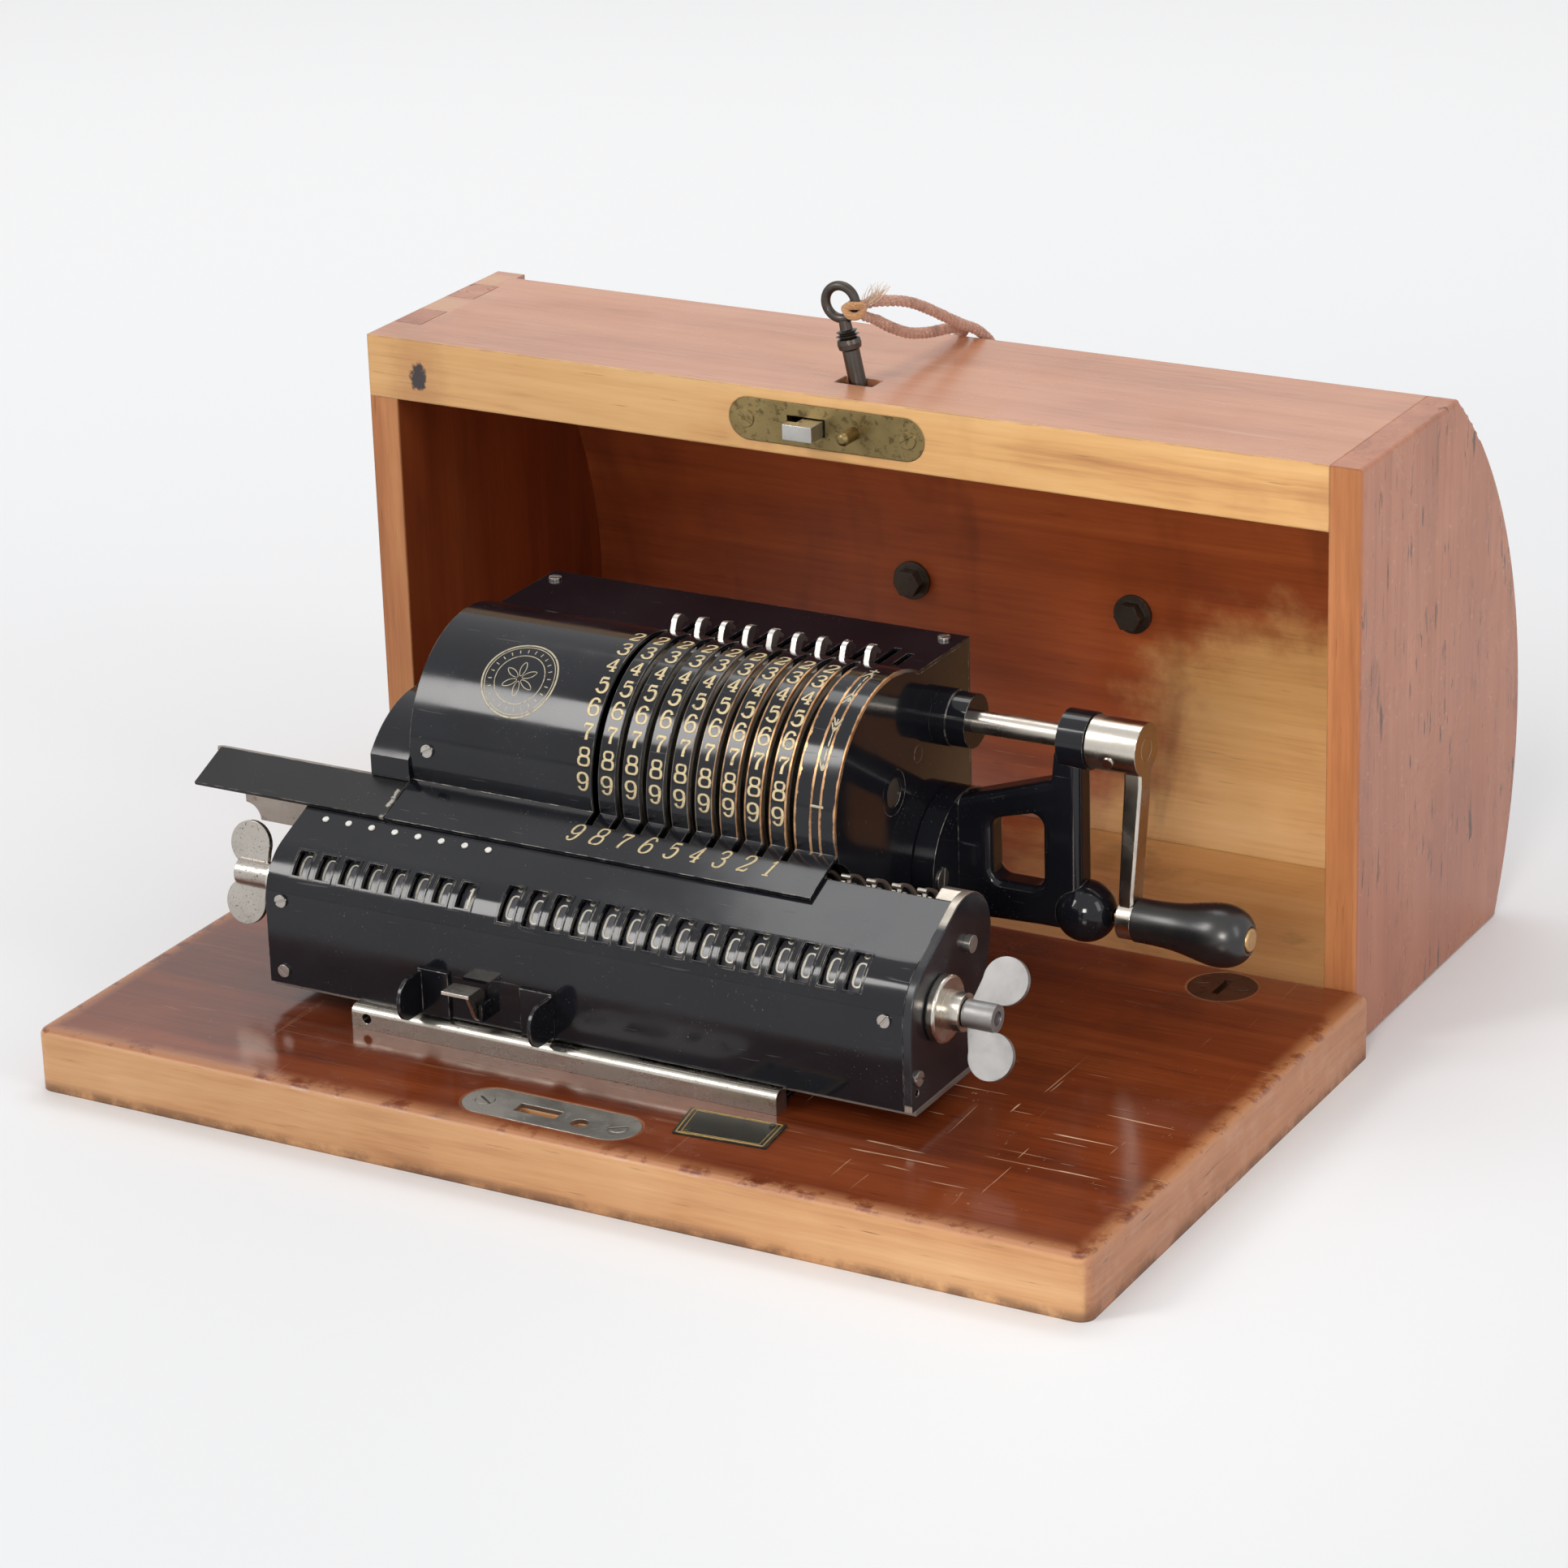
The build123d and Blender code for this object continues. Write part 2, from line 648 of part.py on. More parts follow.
# crank bracket: round flange, two arms, upright, ring round the shaft and ball with the stop hole
bracket_y = crank_y
ring_right = hub_left - 0.3
ring_left = ring_right - bracket_ring_length
upright_right = ring_right - 3.5
upright_left = upright_right - 11.0
arm_right = hub_right - arm_lean
ball_x = arm_right - arm_thickness - stop_gap - stop_ball_radius
with BuildPart() as crank_bracket:
    with BuildSketch(Plane.XZ.offset(-bracket_y)):
        with BuildLine():
            FilletPolyline(
                (crank_x + 2, grip_z - 8.0),
                (upright_left - 4, grip_z - 6.6),
                (upright_right, grip_z - 6.6),
                (upright_right, crank_height - 4),
                (upright_left + 1, crank_height - 4),
                (upright_left, crank_height - 15.2),
                (crank_x + 6, bracket_flange_height + 23.5),
                (crank_x + 2, bracket_flange_height + 22),
                radius=2.0,
                close=True,
            )
        make_face()
        with BuildLine():
            FilletPolyline(
                (crank_x + 20.5, grip_z + 7.3),
                (upright_left - 3, grip_z + 7.3),
                (upright_left - 3, crank_height - 27.5),
                (crank_x + 20.5, bracket_flange_height + 18),
                radius=4.0,
                close=True,
            )
        make_face(mode=Mode.SUBTRACT)
    extrude(amount=bracket_arm_half_width, both=True)
    fillet(crank_bracket.faces().filter_by(Axis.Y).edges(), 3.2)
    rod(crank_x, crank_x + bracket_flange_thickness, bracket_y, bracket_flange_height, bracket_flange_radius)
    fillet(
        crank_bracket.faces().filter_by(Axis.X).sort_by(Axis.X)[0].edges().filter_by(GeomType.CIRCLE),
        0.6,
    )
    rod(ring_left, ring_right, crank_y, crank_height, bracket_ring_radius)
    with Locations((ball_x, bracket_y, grip_z)):
        Sphere(stop_ball_radius)
    rod(ring_left - 8, ring_right + 1, crank_y, crank_height, crank_shaft_radius + running, mode=Mode.SUBTRACT)
    rod(ball_x + 3, ball_x + 12, bracket_y, grip_z, stop_pin_radius + 0.15, mode=Mode.SUBTRACT)
    for side in (-1, 1):
        rod(
            crank_x + bracket_flange_thickness - 1.2,
            crank_x + bracket_flange_thickness + 1,
            bracket_y + side * 18.4,
            bracket_flange_height - 1,
            4.3,
            mode=Mode.SUBTRACT,
        )
crank_bracket.part.label = "crank_bracket"
export_step(crank_bracket.part, "parts/crank_bracket.step")

with BuildPart() as machine_screws:
    for side, turn in ((-1, 0.2), (1, -1.0)):
        seat = Plane(
            (crank_x + bracket_flange_thickness - 1.2, bracket_y + side * 18.4, bracket_flange_height - 1),
            x_dir=(0, turn, 1),
            z_dir=(1, 0, 0),
        )
        slotted_screw(seat, 4.0, 1.8, 0.8, 2.0)
    for x, y, turn in (
        (body_left + 5.0, rear_y - 7.9, 0.3),
        (body_right - 6.7, rear_y - 5.8, 1.4),
    ):
        slotted_screw(Plane((x, y, top_plate_height), x_dir=(1, turn, 0)), 2.3, 1.0, 1.0, 1.2)
    for x in (body_left + 7.4,):
        y, z = polar(drum_y, drum_height, cover_radius, 174.5)
        seat = Plane((x, y + 0.05, z), x_dir=(1, 0, 0.6), z_dir=(0, cos(radians(174.5)), sin(radians(174.5))))
        slotted_screw(seat, 2.3, 1.0, 1.0, 1.2)
machine_screws.part.label = "machine_screws"
export_step(machine_screws.part, "parts/machine_screws.step")

# ---------------------------------------------------------------- crank
gear_pitch = hypot(crank_y - drum_y, crank_height - drum_height) / 4
gear_module = 2 * gear_pitch / gear_teeth
train_angle = degrees(atan2(crank_height - drum_height, crank_y - drum_y))
tooth = 360 / gear_teeth
with BuildPart() as crank_shaft:
    rod(gear_left - free, hub_right, crank_y, crank_height, crank_shaft_radius)
    gear(
        gear_left,
        gear_width,
        crank_y,
        crank_height,
        gear_points(gear_pitch, gear_teeth, 0.7 * gear_module, 0.9 * gear_module, train_angle + 180),
    )
crank_shaft.part.label = "crank_shaft"
export_step(crank_shaft.part, "parts/crank_shaft.step")

arm_left = arm_right - arm_thickness
with BuildPart() as crank_arm:
    with BuildSketch(Plane.XZ.offset(-crank_y)):
        Polygon(
            (hub_right, crank_height),
            (hub_right - arm_thickness - 1.0, crank_height),
            (hub_right - arm_thickness - 1.0, crank_height - crank_hub_radius - 3),
            (arm_left, grip_z + arm_boss_radius + 2),
            (arm_left, grip_z),
            (arm_right, grip_z),
            (arm_right, grip_z + arm_boss_radius + 2),
            (hub_right, crank_height - crank_hub_radius - 3),
            align=None,
        )
    extrude(amount=arm_width / 2, both=True)
    chamfer(crank_arm.edges().filter_by(Axis.Y, reverse=True).filter_by(Axis.X, reverse=True), 0.8)
    rod(hub_left, hub_right, crank_y, crank_height, crank_hub_radius)
    rod(arm_left, arm_right, crank_y, grip_z, arm_boss_radius)
    rod(hub_left - 1, hub_right + 1, crank_y, crank_height, crank_shaft_radius, mode=Mode.SUBTRACT)
    rod(arm_left - 1, arm_right + 1, crank_y, grip_z, stop_pin_radius + running, mode=Mode.SUBTRACT)
    pin_seat = Plane(
        (hub_left + 8.6, crank_y - crank_hub_radius * cos(radians(20)) + 0.5,
         crank_height - crank_hub_radius * sin(radians(20))),
        x_dir=(1, 0, 0),
        z_dir=(0, -cos(radians(20)), -sin(radians(20))),
    )
    with BuildSketch(pin_seat.offset(-3)):
        Circle(1.9)
    extrude(amount=4.0)
crank_arm.part.label = "crank_arm"
export_step(crank_arm.part, "parts/crank_arm.step")

cap_radius = 4.4
cap_length = 3.0
cap_travel = 5.5
grip_left = arm_right + 0.3
grip_right = grip_left + grip_length
with BuildPart() as stop_spindle:
    rod(ball_x + stop_ball_radius + free, grip_right - cap_length, crank_y, grip_z, stop_pin_radius)
    rod(grip_right - cap_length, grip_right + 0.8, crank_y, grip_z, cap_radius)
    fillet(stop_spindle.faces().filter_by(Axis.X).sort_by(Axis.X)[-1].edges(), 1.0)
stop_spindle.part.label = "stop_spindle"
export_step(stop_spindle.part, "parts/stop_spindle.step")

with BuildPart() as grip:
    with BuildSketch(Plane.XZ.offset(-crank_y)):
        with BuildLine():
            Spline(
                (grip_left, grip_z + 7.65),
                (grip_left + 8, grip_z + 7.75),
                (grip_left + 16, grip_z + 8.5),
                (grip_left + 25, grip_z + 10.3),
                (grip_left + 32, grip_z + 10.9),
                (grip_left + 38, grip_z + 8.9),
                (grip_right, grip_z + cap_radius + 0.9),
            )
            Polyline(
                (grip_right, grip_z + cap_radius + 0.9),
                (grip_right, grip_z + cap_radius + 0.2),
                (grip_right - cap_length - cap_travel - 0.3, grip_z + cap_radius + 0.2),
                (grip_right - cap_length - cap_travel - 0.3, grip_z + stop_pin_radius + running),
                (grip_left, grip_z + stop_pin_radius + running),
                (grip_left, grip_z + 7.65),
            )
        make_face()
    revolve(axis=Axis((0, crank_y, grip_z), (1, 0, 0)))
grip.part.label = "grip"
export_step(grip.part, "parts/grip.step")

with BuildPart() as idler_gear:
    gear(
        gear_left,
        gear_width,
        idler_y,
        idler_z,
        gear_points(gear_pitch, gear_teeth, 0.7 * gear_module, 0.9 * gear_module, train_angle + tooth / 2),
    )
    rod(gear_left - 1, gear_left + gear_width + 1, idler_y, idler_z, stud_radius + running, mode=Mode.SUBTRACT)
idler_gear.part.label = "idler_gear"
export_step(idler_gear.part, "parts/idler_gear.step")

# ---------------------------------------------------------------- drum
with BuildPart() as pinwheel_drum:
    rod(body_left + 0.5, body_right - 0.5, drum_y, drum_height, drum_shaft_radius)
    gear(
        gear_left,
        gear_width,
        drum_y,
        drum_height,
        gear_points(gear_pitch, gear_teeth, 0.7 * gear_module, 0.9 * gear_module, train_angle),
    )
    for slot_x in slot_xs:
        wheel_left = slot_x + lever_thickness / 2 + 0.3
        rod(slot_x - lever_thickness / 2 - 0.05, wheel_left, drum_y, drum_height, lever_hub_radius)
        rod(wheel_left, wheel_left + pinwheel_thickness, drum_y, drum_height, pinwheel_radius)
    with BuildSketch(Plane.YZ.offset(slot_xs[0] + lever_thickness / 2 + 0.3 + 0.4)) as pin_ring:
        with Locations((drum_y, drum_height)):
            with PolarLocations(pinwheel_radius - 1, 9, start_angle=200, angular_range=digit_step * 9):
                Rectangle(2 * (1 + pin_rise), 2.0)
    for n in range(lever_count):
        with BuildSketch(Plane.YZ.offset(slot_xs[n] + lever_thickness / 2 + 0.7)):
            with Locations((drum_y, drum_height)):
                with PolarLocations(pinwheel_radius - 1, 9, start_angle=200, angular_range=digit_step * 9):
                    Rectangle(2 * (1 + pin_rise), 2.0)
        extrude(amount=2.0)
pinwheel_drum.part.label = "pinwheel_drum"
export_step(pinwheel_drum.part, "parts/pinwheel_drum.step")


def lever_point(along, out):
    """A point of a lever's outline: along the rim towards the front, and out from the drum axis."""
    angle = radians(lever_angle)
    return (
        drum_y + out * cos(angle) - along * sin(angle),
        drum_height + out * sin(angle) + along * cos(angle),
    )


def setting_lever(slot_x):
    """A ring on the pinwheel's boss with a cane-shaped finger that stands through the slot."""
    start = slot_x - lever_thickness / 2
    tip = lever_tip_radius
    with BuildSketch(Plane.YZ.offset(start)) as profile:
        with Locations((drum_y, drum_height)):
            Circle(lever_ring_radius)
        with BuildLine():
            Polyline(
                lever_point(-1.4, tip - 5.0),
                lever_point(-2.6, lever_ring_radius - 3),
                lever_point(2.9, lever_ring_radius - 3),
                lever_point(2.9, tip - 3.2),
            )
            ThreePointArc(
                lever_point(2.9, tip - 3.2), lever_point(1.6, tip - 0.7), lever_point(-1.0, tip - 0.1)
            )
            Polyline(
                lever_point(-1.0, tip - 0.1),
                lever_point(-5.2, tip - 1.5),
                lever_point(-5.0, tip - 2.4),
                lever_point(-2.2, tip - 2.3),
                lever_point(-1.4, tip - 5.0),
            )
        make_face()
        with Locations((drum_y, drum_height)):
            Circle(lever_hub_radius + running, mode=Mode.SUBTRACT)
    extrude(profile.sketch, amount=lever_thickness)


for number, slot_x in enumerate(slot_xs, start=1):
    with BuildPart() as lever:
        setting_lever(slot_x)
    lever.part.label = f"setting_lever_{number}"
    export_step(lever.part, f"parts/setting_lever_{number}.step")

# ---------------------------------------------------------------- carriage
tangent_angle = 90 + apron_slope
tangent_y, tangent_z = polar(register_y, register_height, nose_radius, tangent_angle)
cover_rear_y = front + carriage_cover_rear
cover_rear_z = tangent_z + slope * (cover_rear_y - tangent_y)
inner_nose = nose_radius - sheet
inner_tangent = polar(register_y, register_height, inner_nose, tangent_angle)
inner_rear_z = cover_rear_z - slope_drop


def window(centre, low_angle, high_angle, inner, outer, grow, mode):
    """A window shape in the rounded front, as wide as a wheel, between two angles."""
    half = window_width / 2 + grow
    extra = degrees(grow / nose_radius)
    with BuildSketch(Plane.YZ.offset(centre - half)) as profile:
        with BuildLine():
            first = polar(register_y, register_height, inner, low_angle - extra)
            second = polar(register_y, register_height, outer, low_angle - extra)
            third = polar(register_y, register_height, outer, high_angle + extra)
            fourth = polar(register_y, register_height, inner, high_angle + extra)
            middle = (low_angle + high_angle) / 2
            Line(first, second)
            ThreePointArc(second, polar(register_y, register_height, outer, middle), third)
            Line(third, fourth)
            ThreePointArc(fourth, polar(register_y, register_height, inner, middle), first)
        make_face()
    extrude(profile.sketch, amount=2 * half, mode=mode)


windows = [(x, 116.0, 154.0) for x in result_xs] + [(x, 122.0, 148.5) for x in counter_xs]
with BuildPart() as carriage_cover:
    with BuildSketch(Plane.YZ.offset(cover_left)):
        with BuildLine():
            Line((cover_y, cover_bottom), (cover_y, register_height))
            ThreePointArc(
                (cover_y, register_height),
                polar(register_y, register_height, nose_radius, 145),
                (tangent_y, tangent_z),
            )
            Polyline((tangent_y, tangent_z), (cover_rear_y, cover_rear_z), (cover_rear_y, inner_rear_z), inner_tangent)
            ThreePointArc(
                inner_tangent,
                polar(register_y, register_height, inner_nose, 145),
                (cover_y + sheet, register_height),
            )
            Polyline(
                (cover_y + sheet, register_height), (cover_y + sheet, cover_bottom), (cover_y, cover_bottom)
            )
        make_face()
    extrude(amount=carriage_width)
    for centre, low_angle, high_angle in windows:
        window(centre, low_angle, high_angle, nose_radius - 0.3, nose_radius + window_rim_rise, window_rim, Mode.ADD)
    for centre, low_angle, high_angle in windows:
        window(centre, low_angle, high_angle, inner_nose - 2, nose_radius + 2, 0.0, Mode.SUBTRACT)
carriage_cover.part.label = "carriage_cover"
export_step(carriage_cover.part, "parts/carriage_cover.step")

end_rear_low = front + bottom_plate_rear


def end_plate_face(front_radius):
    """Outline of an end plate: round nose, rear lobe and flat foot, wrapped by one hull."""
    with Locations((register_y, register_height)):
        Circle(front_radius)
    with Locations((transfer_y, transfer_height)):
        Circle(lobe_radius)
    foot_y = register_y - front_radius
    with Locations(((foot_y + end_rear_low) / 2, bottom_top + 0.5)):
        Rectangle(end_rear_low - foot_y, 1.0)
    make_hull()


def above_cover_line(drop):
    """Everything above the cover's sloping top, lowered by a distance."""
    Polygon(
        (tangent_y - 30, tangent_z - 30 * slope - drop),
        (tangent_y + 60, tangent_z + 60 * slope - drop),
        (tangent_y + 60, tangent_z + 80),
        (tangent_y - 30, tangent_z + 80),
        align=None,
        mode=Mode.SUBTRACT,
    )


result_wall = cover_right + end_plate_thickness
with BuildPart() as carriage_end_right:
    with BuildSketch(Plane.YZ.offset(cover_right)):
        end_plate_face(nose_radius - 0.2)
    extrude(amount=end_plate_thickness)
    fillet(carriage_end_right.faces().sort_by(Axis.X)[-1].edges(), 0.5)
    with BuildSketch(Plane.YZ.offset(cover_right - rim_width)):
        with Locations((transfer_y, transfer_height)):
            Circle(lobe_radius)
            Circle(lobe_radius - 2.5, mode=Mode.SUBTRACT)
        above_cover_line(0.0)
        with Locations((cover_rear_y - 19.6, transfer_height)):
            Rectangle(40, 60, mode=Mode.SUBTRACT)
        with Locations((transfer_y, transfer_height - 31)):
            Rectangle(60, 60, mode=Mode.SUBTRACT)
    extrude(amount=rim_width)
    rod(cover_right, result_wall, register_y, register_height, register_shaft_radius + running, mode=Mode.SUBTRACT)
    rod(cover_right, result_wall, transfer_y, transfer_height, transfer_shaft_radius, mode=Mode.SUBTRACT)
    rod(cover_right, result_wall, cover_y + 3.6, bottom_top + 6, 1.2, mode=Mode.SUBTRACT)
carriage_end_right.part.label = "carriage_end_right"
export_step(carriage_end_right.part, "parts/carriage_end_right.step")

with BuildPart() as carriage_end_left:
    with BuildSketch(Plane.YZ.offset(cover_left)):
        end_plate_face(inner_nose - 0.05)
        above_cover_line(slope_drop + 0.05)
    extrude(amount=end_plate_thickness)
    wall = cover_left + end_plate_thickness
    rod(cover_left, wall, register_y, register_height, register_shaft_radius + running, mode=Mode.SUBTRACT)
    rod(cover_left, wall, transfer_y, transfer_height, transfer_shaft_radius, mode=Mode.SUBTRACT)
carriage_end_left.part.label = "carriage_end_left"
export_step(carriage_end_left.part, "parts/carriage_end_left.step")

partition_thickness = 2.0
with BuildPart() as carriage_base:
    bottom_y = rail_back + free
    block(cover_left, result_wall, bottom_y, end_rear_low, bottom_top - bottom_plate_thickness, bottom_top)
    with BuildSketch(Plane.YZ.offset(partition_x)):
        with Locations((register_y, register_height)):
            Circle(6)
        with Locations((register_y, (bottom_top + register_height) / 2)):
            Rectangle(12, register_height - bottom_top)
        with Locations((transfer_y, transfer_height)):
            Circle(7)
        Polygon(
            (register_y - 3, register_height + 4),
            (register_y + 5, register_height - 6),
            (transfer_y + 5, transfer_height - 5),
            (transfer_y - 5, transfer_height + 5),
            align=None,
        )
        with Locations((register_y, register_height)):
            Circle(register_shaft_radius + running, mode=Mode.SUBTRACT)
        with Locations((transfer_y, transfer_height)):
            Circle(transfer_shaft_radius, mode=Mode.SUBTRACT)
    extrude(amount=partition_thickness)
    rod(cover_left, result_wall + 2.1, transfer_y, transfer_height, transfer_shaft_radius)
    rod(cover_left + end_plate_thickness, cover_right, carry_y, carry_z, carry_shaft_radius)
carriage_base.part.label = "carriage_base"
export_step(carriage_base.part, "parts/carriage_base.step")

with BuildPart() as bearing_flanges:
    for wall, side in ((result_wall, 1), (cover_left, -1)):
        flange_end = wall + side * flange_thickness
        rod(min(wall, flange_end), max(wall, flange_end), register_y, register_height, flange_radius)
        collar_end = flange_end + side * collar_length
        rod(min(flange_end, collar_end), max(flange_end, collar_end), register_y, register_height, collar_radius)
    fillet(bearing_flanges.edges().filter_by(GeomType.CIRCLE).filter_by(lambda e: e.radius > collar_radius + 1), 1.0)
    rod(
        cover_left - 30,
        result_wall + 30,
        register_y,
        register_height,
        register_shaft_radius + running,
        mode=Mode.SUBTRACT,
    )
bearing_flanges.part.label = "bearing_flanges"
export_step(bearing_flanges.part, "parts/bearing_flanges.step")

with BuildPart() as carriage_screws:
    for wall, side in ((result_wall, 1), (cover_left, -1)):
        seat = Plane(
            (wall + side * flange_thickness, register_y + 4.5, register_height - 7.6),
            x_dir=(0, 1, 1.6),
            z_dir=(side, 0, 0),
        )
        slotted_screw(seat, 1.9, 1.0, 1.0, 1.0)
    slotted_screw(
        Plane((result_wall, cover_y + 4.2, bottom_top + 11), x_dir=(0, 1, -0.4), z_dir=(1, 0, 0)), 2.6, 1.0, 1.0, 1.2
    )
    for x, height, turn in (
        (cover_left + 6.5, 62.0, 0.4),
        (cover_left + 6.0, 36.0, -0.8),
        (cover_right - 6.5, 62.0, 1.2),
    ):
        slotted_screw(Plane((x, cover_y, height), x_dir=(1, 0, turn), z_dir=(0, -1, 0)), 2.3, 0.9, 1.0, 1.2)
carriage_screws.part.label = "carriage_screws"
export_step(carriage_screws.part, "parts/carriage_screws.step")

stud_depth = 77.5
with BuildPart() as decimal_studs:
    normal = (0, -sin(radians(apron_slope)), cos(radians(apron_slope)))
    stud_y = front + stud_depth
    stud_z = tangent_z + slope * (stud_y - tangent_y)
    for x in counter_xs:
        with BuildSketch(Plane((x - 1.8, stud_y, stud_z), x_dir=(1, 0, 0), z_dir=normal)):
            Circle(1.15)
        extrude(amount=0.45)
decimal_studs.part.label = "decimal_studs"
export_step(decimal_studs.part, "parts/decimal_studs.step")

tab_thickness = 1.3
tab_reach = 15.0
with BuildPart() as finger_tabs:
    for tab_left, tab_right, flange_left in (
        (left + 123.7, left + 135.6, True),
        (left + 164.0, left + 176.5, False),
    ):
        block(tab_left, tab_right, cover_y - tab_thickness, cover_y, cover_bottom, 47.8)
        edge = tab_left if flange_left else tab_right - tab_thickness
        with BuildSketch(Plane.YZ.offset(edge)):
            with BuildLine():
                FilletPolyline(
                    (cover_y - tab_thickness / 2, cover_bottom + 1),
                    (cover_y - tab_reach, cover_bottom + 1),
                    (cover_y - tab_reach, 46.8),
                    (cover_y - tab_thickness / 2, 46.8),
                    radius=[6.5, 6.5],
                )
                Line((cover_y - tab_thickness / 2, 46.8), (cover_y - tab_thickness / 2, cover_bottom + 1))
            make_face()
        extrude(amount=tab_thickness)
    ear_x = left + 150.4
    block(ear_x, ear_x + 1.2, cover_y - 5.6, cover_y, 34.6, 41.0)
    rod(ear_x - 3.4, ear_x, cover_y - 3.2, 38.0, 1.2)
finger_tabs.part.label = "finger_tabs"
export_step(finger_tabs.part, "parts/finger_tabs.step")

with BuildPart() as release_lever:
    web_left = left + 148.6
    with BuildSketch(Plane.YZ.offset(web_left)):
        Polygon(
            (cover_y - 1.4, 34.4),
            (cover_y - 1.4, 44.0),
            (cover_y - 2.7, 45.8),
            (cover_y - 10.7, 45.8),
            (cover_y - 10.7, 44.6),
            (cover_y - 6.5, 36.0),
            (cover_y - 4.5, 34.4),
            align=None,
        )
        with Locations((cover_y - 3.2, 38.0)):
            Circle(1.2 + running, mode=Mode.SUBTRACT)
    extrude(amount=1.2)
    block(web_left - 9.6, web_left, cover_y - 10.7, cover_y - 2.7, 44.6, 45.8)
release_lever.part.label = "release_lever"
export_step(release_lever.part, "parts/release_lever.step")

# number wheels, their gears and the transfer gears
wheel_module = 2 * wheel_gear_radius / wheel_gear_teeth
wheel_tooth = 360 / wheel_gear_teeth
wheel_gear_points = gear_points(
    wheel_gear_radius, wheel_gear_teeth, 0.5 * wheel_module, 0.75 * wheel_module, mesh_angle
)
transfer_gear_points = gear_points(
    wheel_gear_radius,
    wheel_gear_teeth,
    0.5 * wheel_module,
    0.75 * wheel_module,
    mesh_angle + 180 + wheel_tooth / 2,
)


def number_wheels(centres, shaft_start, shaft_end):
    """Number wheels with their gears on one clearing shaft."""
    rod(shaft_start, shaft_end, register_y, register_height, register_shaft_radius)
    for centre in centres:
        rod(centre - wheel_width / 2, centre + wheel_width / 2, register_y, register_height, wheel_radius)
        gear(
            centre + wheel_gear_offset - wheel_gear_width / 2,
            wheel_gear_width,
            register_y,
            register_height,
            wheel_gear_points,
        )


result_hub_start = result_wall + flange_thickness + collar_length + 0.3
counter_hub_end = cover_left - flange_thickness - collar_length - 0.3
result_hub_end = result_hub_start + wing_hub_length
counter_hub_start = counter_hub_end - 14.0
with BuildPart() as result_wheels:
    number_wheels(result_xs, partition_x + 1.1, result_hub_end - 0.5)
result_wheels.part.label = "result_wheels"
export_step(result_wheels.part, "parts/result_wheels.step")

with BuildPart() as counter_wheels:
    number_wheels(counter_xs, counter_hub_start + 0.5, partition_x + 0.9)
counter_wheels.part.label = "counter_wheels"
export_step(counter_wheels.part, "parts/counter_wheels.step")


def transfer_gears(centres):
    """Transfer gears on one sleeve that turns on the transfer shaft."""
    start = centres[0] + wheel_gear_offset - wheel_gear_width / 2
    end = centres[-1] + wheel_gear_offset + wheel_gear_width / 2
    rod(start, end, transfer_y, transfer_height, transfer_shaft_radius + 2)
    for centre in centres:
        gear(
            centre + wheel_gear_offset - wheel_gear_width / 2,
            wheel_gear_width,
            transfer_y,
            transfer_height,
            transfer_gear_points,
        )
    rod(start, end, transfer_y, transfer_height, transfer_shaft_radius + running, mode=Mode.SUBTRACT)


with BuildPart() as result_transfer:
    transfer_gears(result_xs)
result_transfer.part.label = "result_transfer"
export_step(result_transfer.part, "parts/result_transfer.step")

with BuildPart() as counter_transfer:
    transfer_gears(counter_xs)
counter_transfer.part.label = "counter_transfer"
export_step(counter_transfer.part, "parts/counter_transfer.step")


def wing_nut(hub_start, hub_end, side, lobe_out, lobe_shift):
    """A wing nut on the register axis: a hub, two round wings and a cross pin."""
    rod(hub_start, hub_end, register_y, register_height, wing_hub_radius)
    middle = (hub_start + hub_end) / 2
    turn = atan2(lobe_out[1], lobe_out[0])
    reach = hypot(*lobe_out)
    plane = Plane(
        (middle, register_y, register_height), x_dir=(0, cos(turn), sin(turn)), z_dir=(0, -sin(turn), cos(turn))
    )
    for sign in (-1, 1):
        with BuildSketch(plane) as profile:
            with BuildLine():
                root = wing_hub_radius - 0.6
                foot = (sign * root, -side * lobe_shift * 0.0)
                across = plane.y_dir.X
                shift = lobe_shift * side * (1 if across > 0 else -1)
                Polyline(
                    (foot[0], foot[1] - 4.2),
                    (sign * reach, shift - wing_radius * 0.98),
                    (sign * (reach + 0.5), shift + wing_radius * 0.98),
                    (foot[0], foot[1] + 4.2),
                    close=True,
                )
            make_face()
            with Locations((sign * reach, shift)):
                Circle(wing_radius)
        extrude(profile.sketch, amount=wing_thickness / 2, both=True)


with BuildPart() as result_wing:
    wing_nut(result_hub_start, result_hub_end, 1, (5.7, 11.0), 6.0)
    rod(result_hub_start - 1, result_hub_end + 1, register_y, register_height, register_shaft_radius, mode=Mode.SUBTRACT)
result_wing.part.label = "result_wing"
export_step(result_wing.part, "parts/result_wing.step")

with BuildPart() as counter_wing:
    wing_nut(counter_hub_start, counter_hub_end, -1, (2.4, 10.0), 3.5)
    rod(counter_hub_start - 1, counter_hub_end + 1, register_y, register_height, register_shaft_radius, mode=Mode.SUBTRACT)
counter_wing.part.label = "counter_wing"
export_step(counter_wing.part, "parts/counter_wing.step")

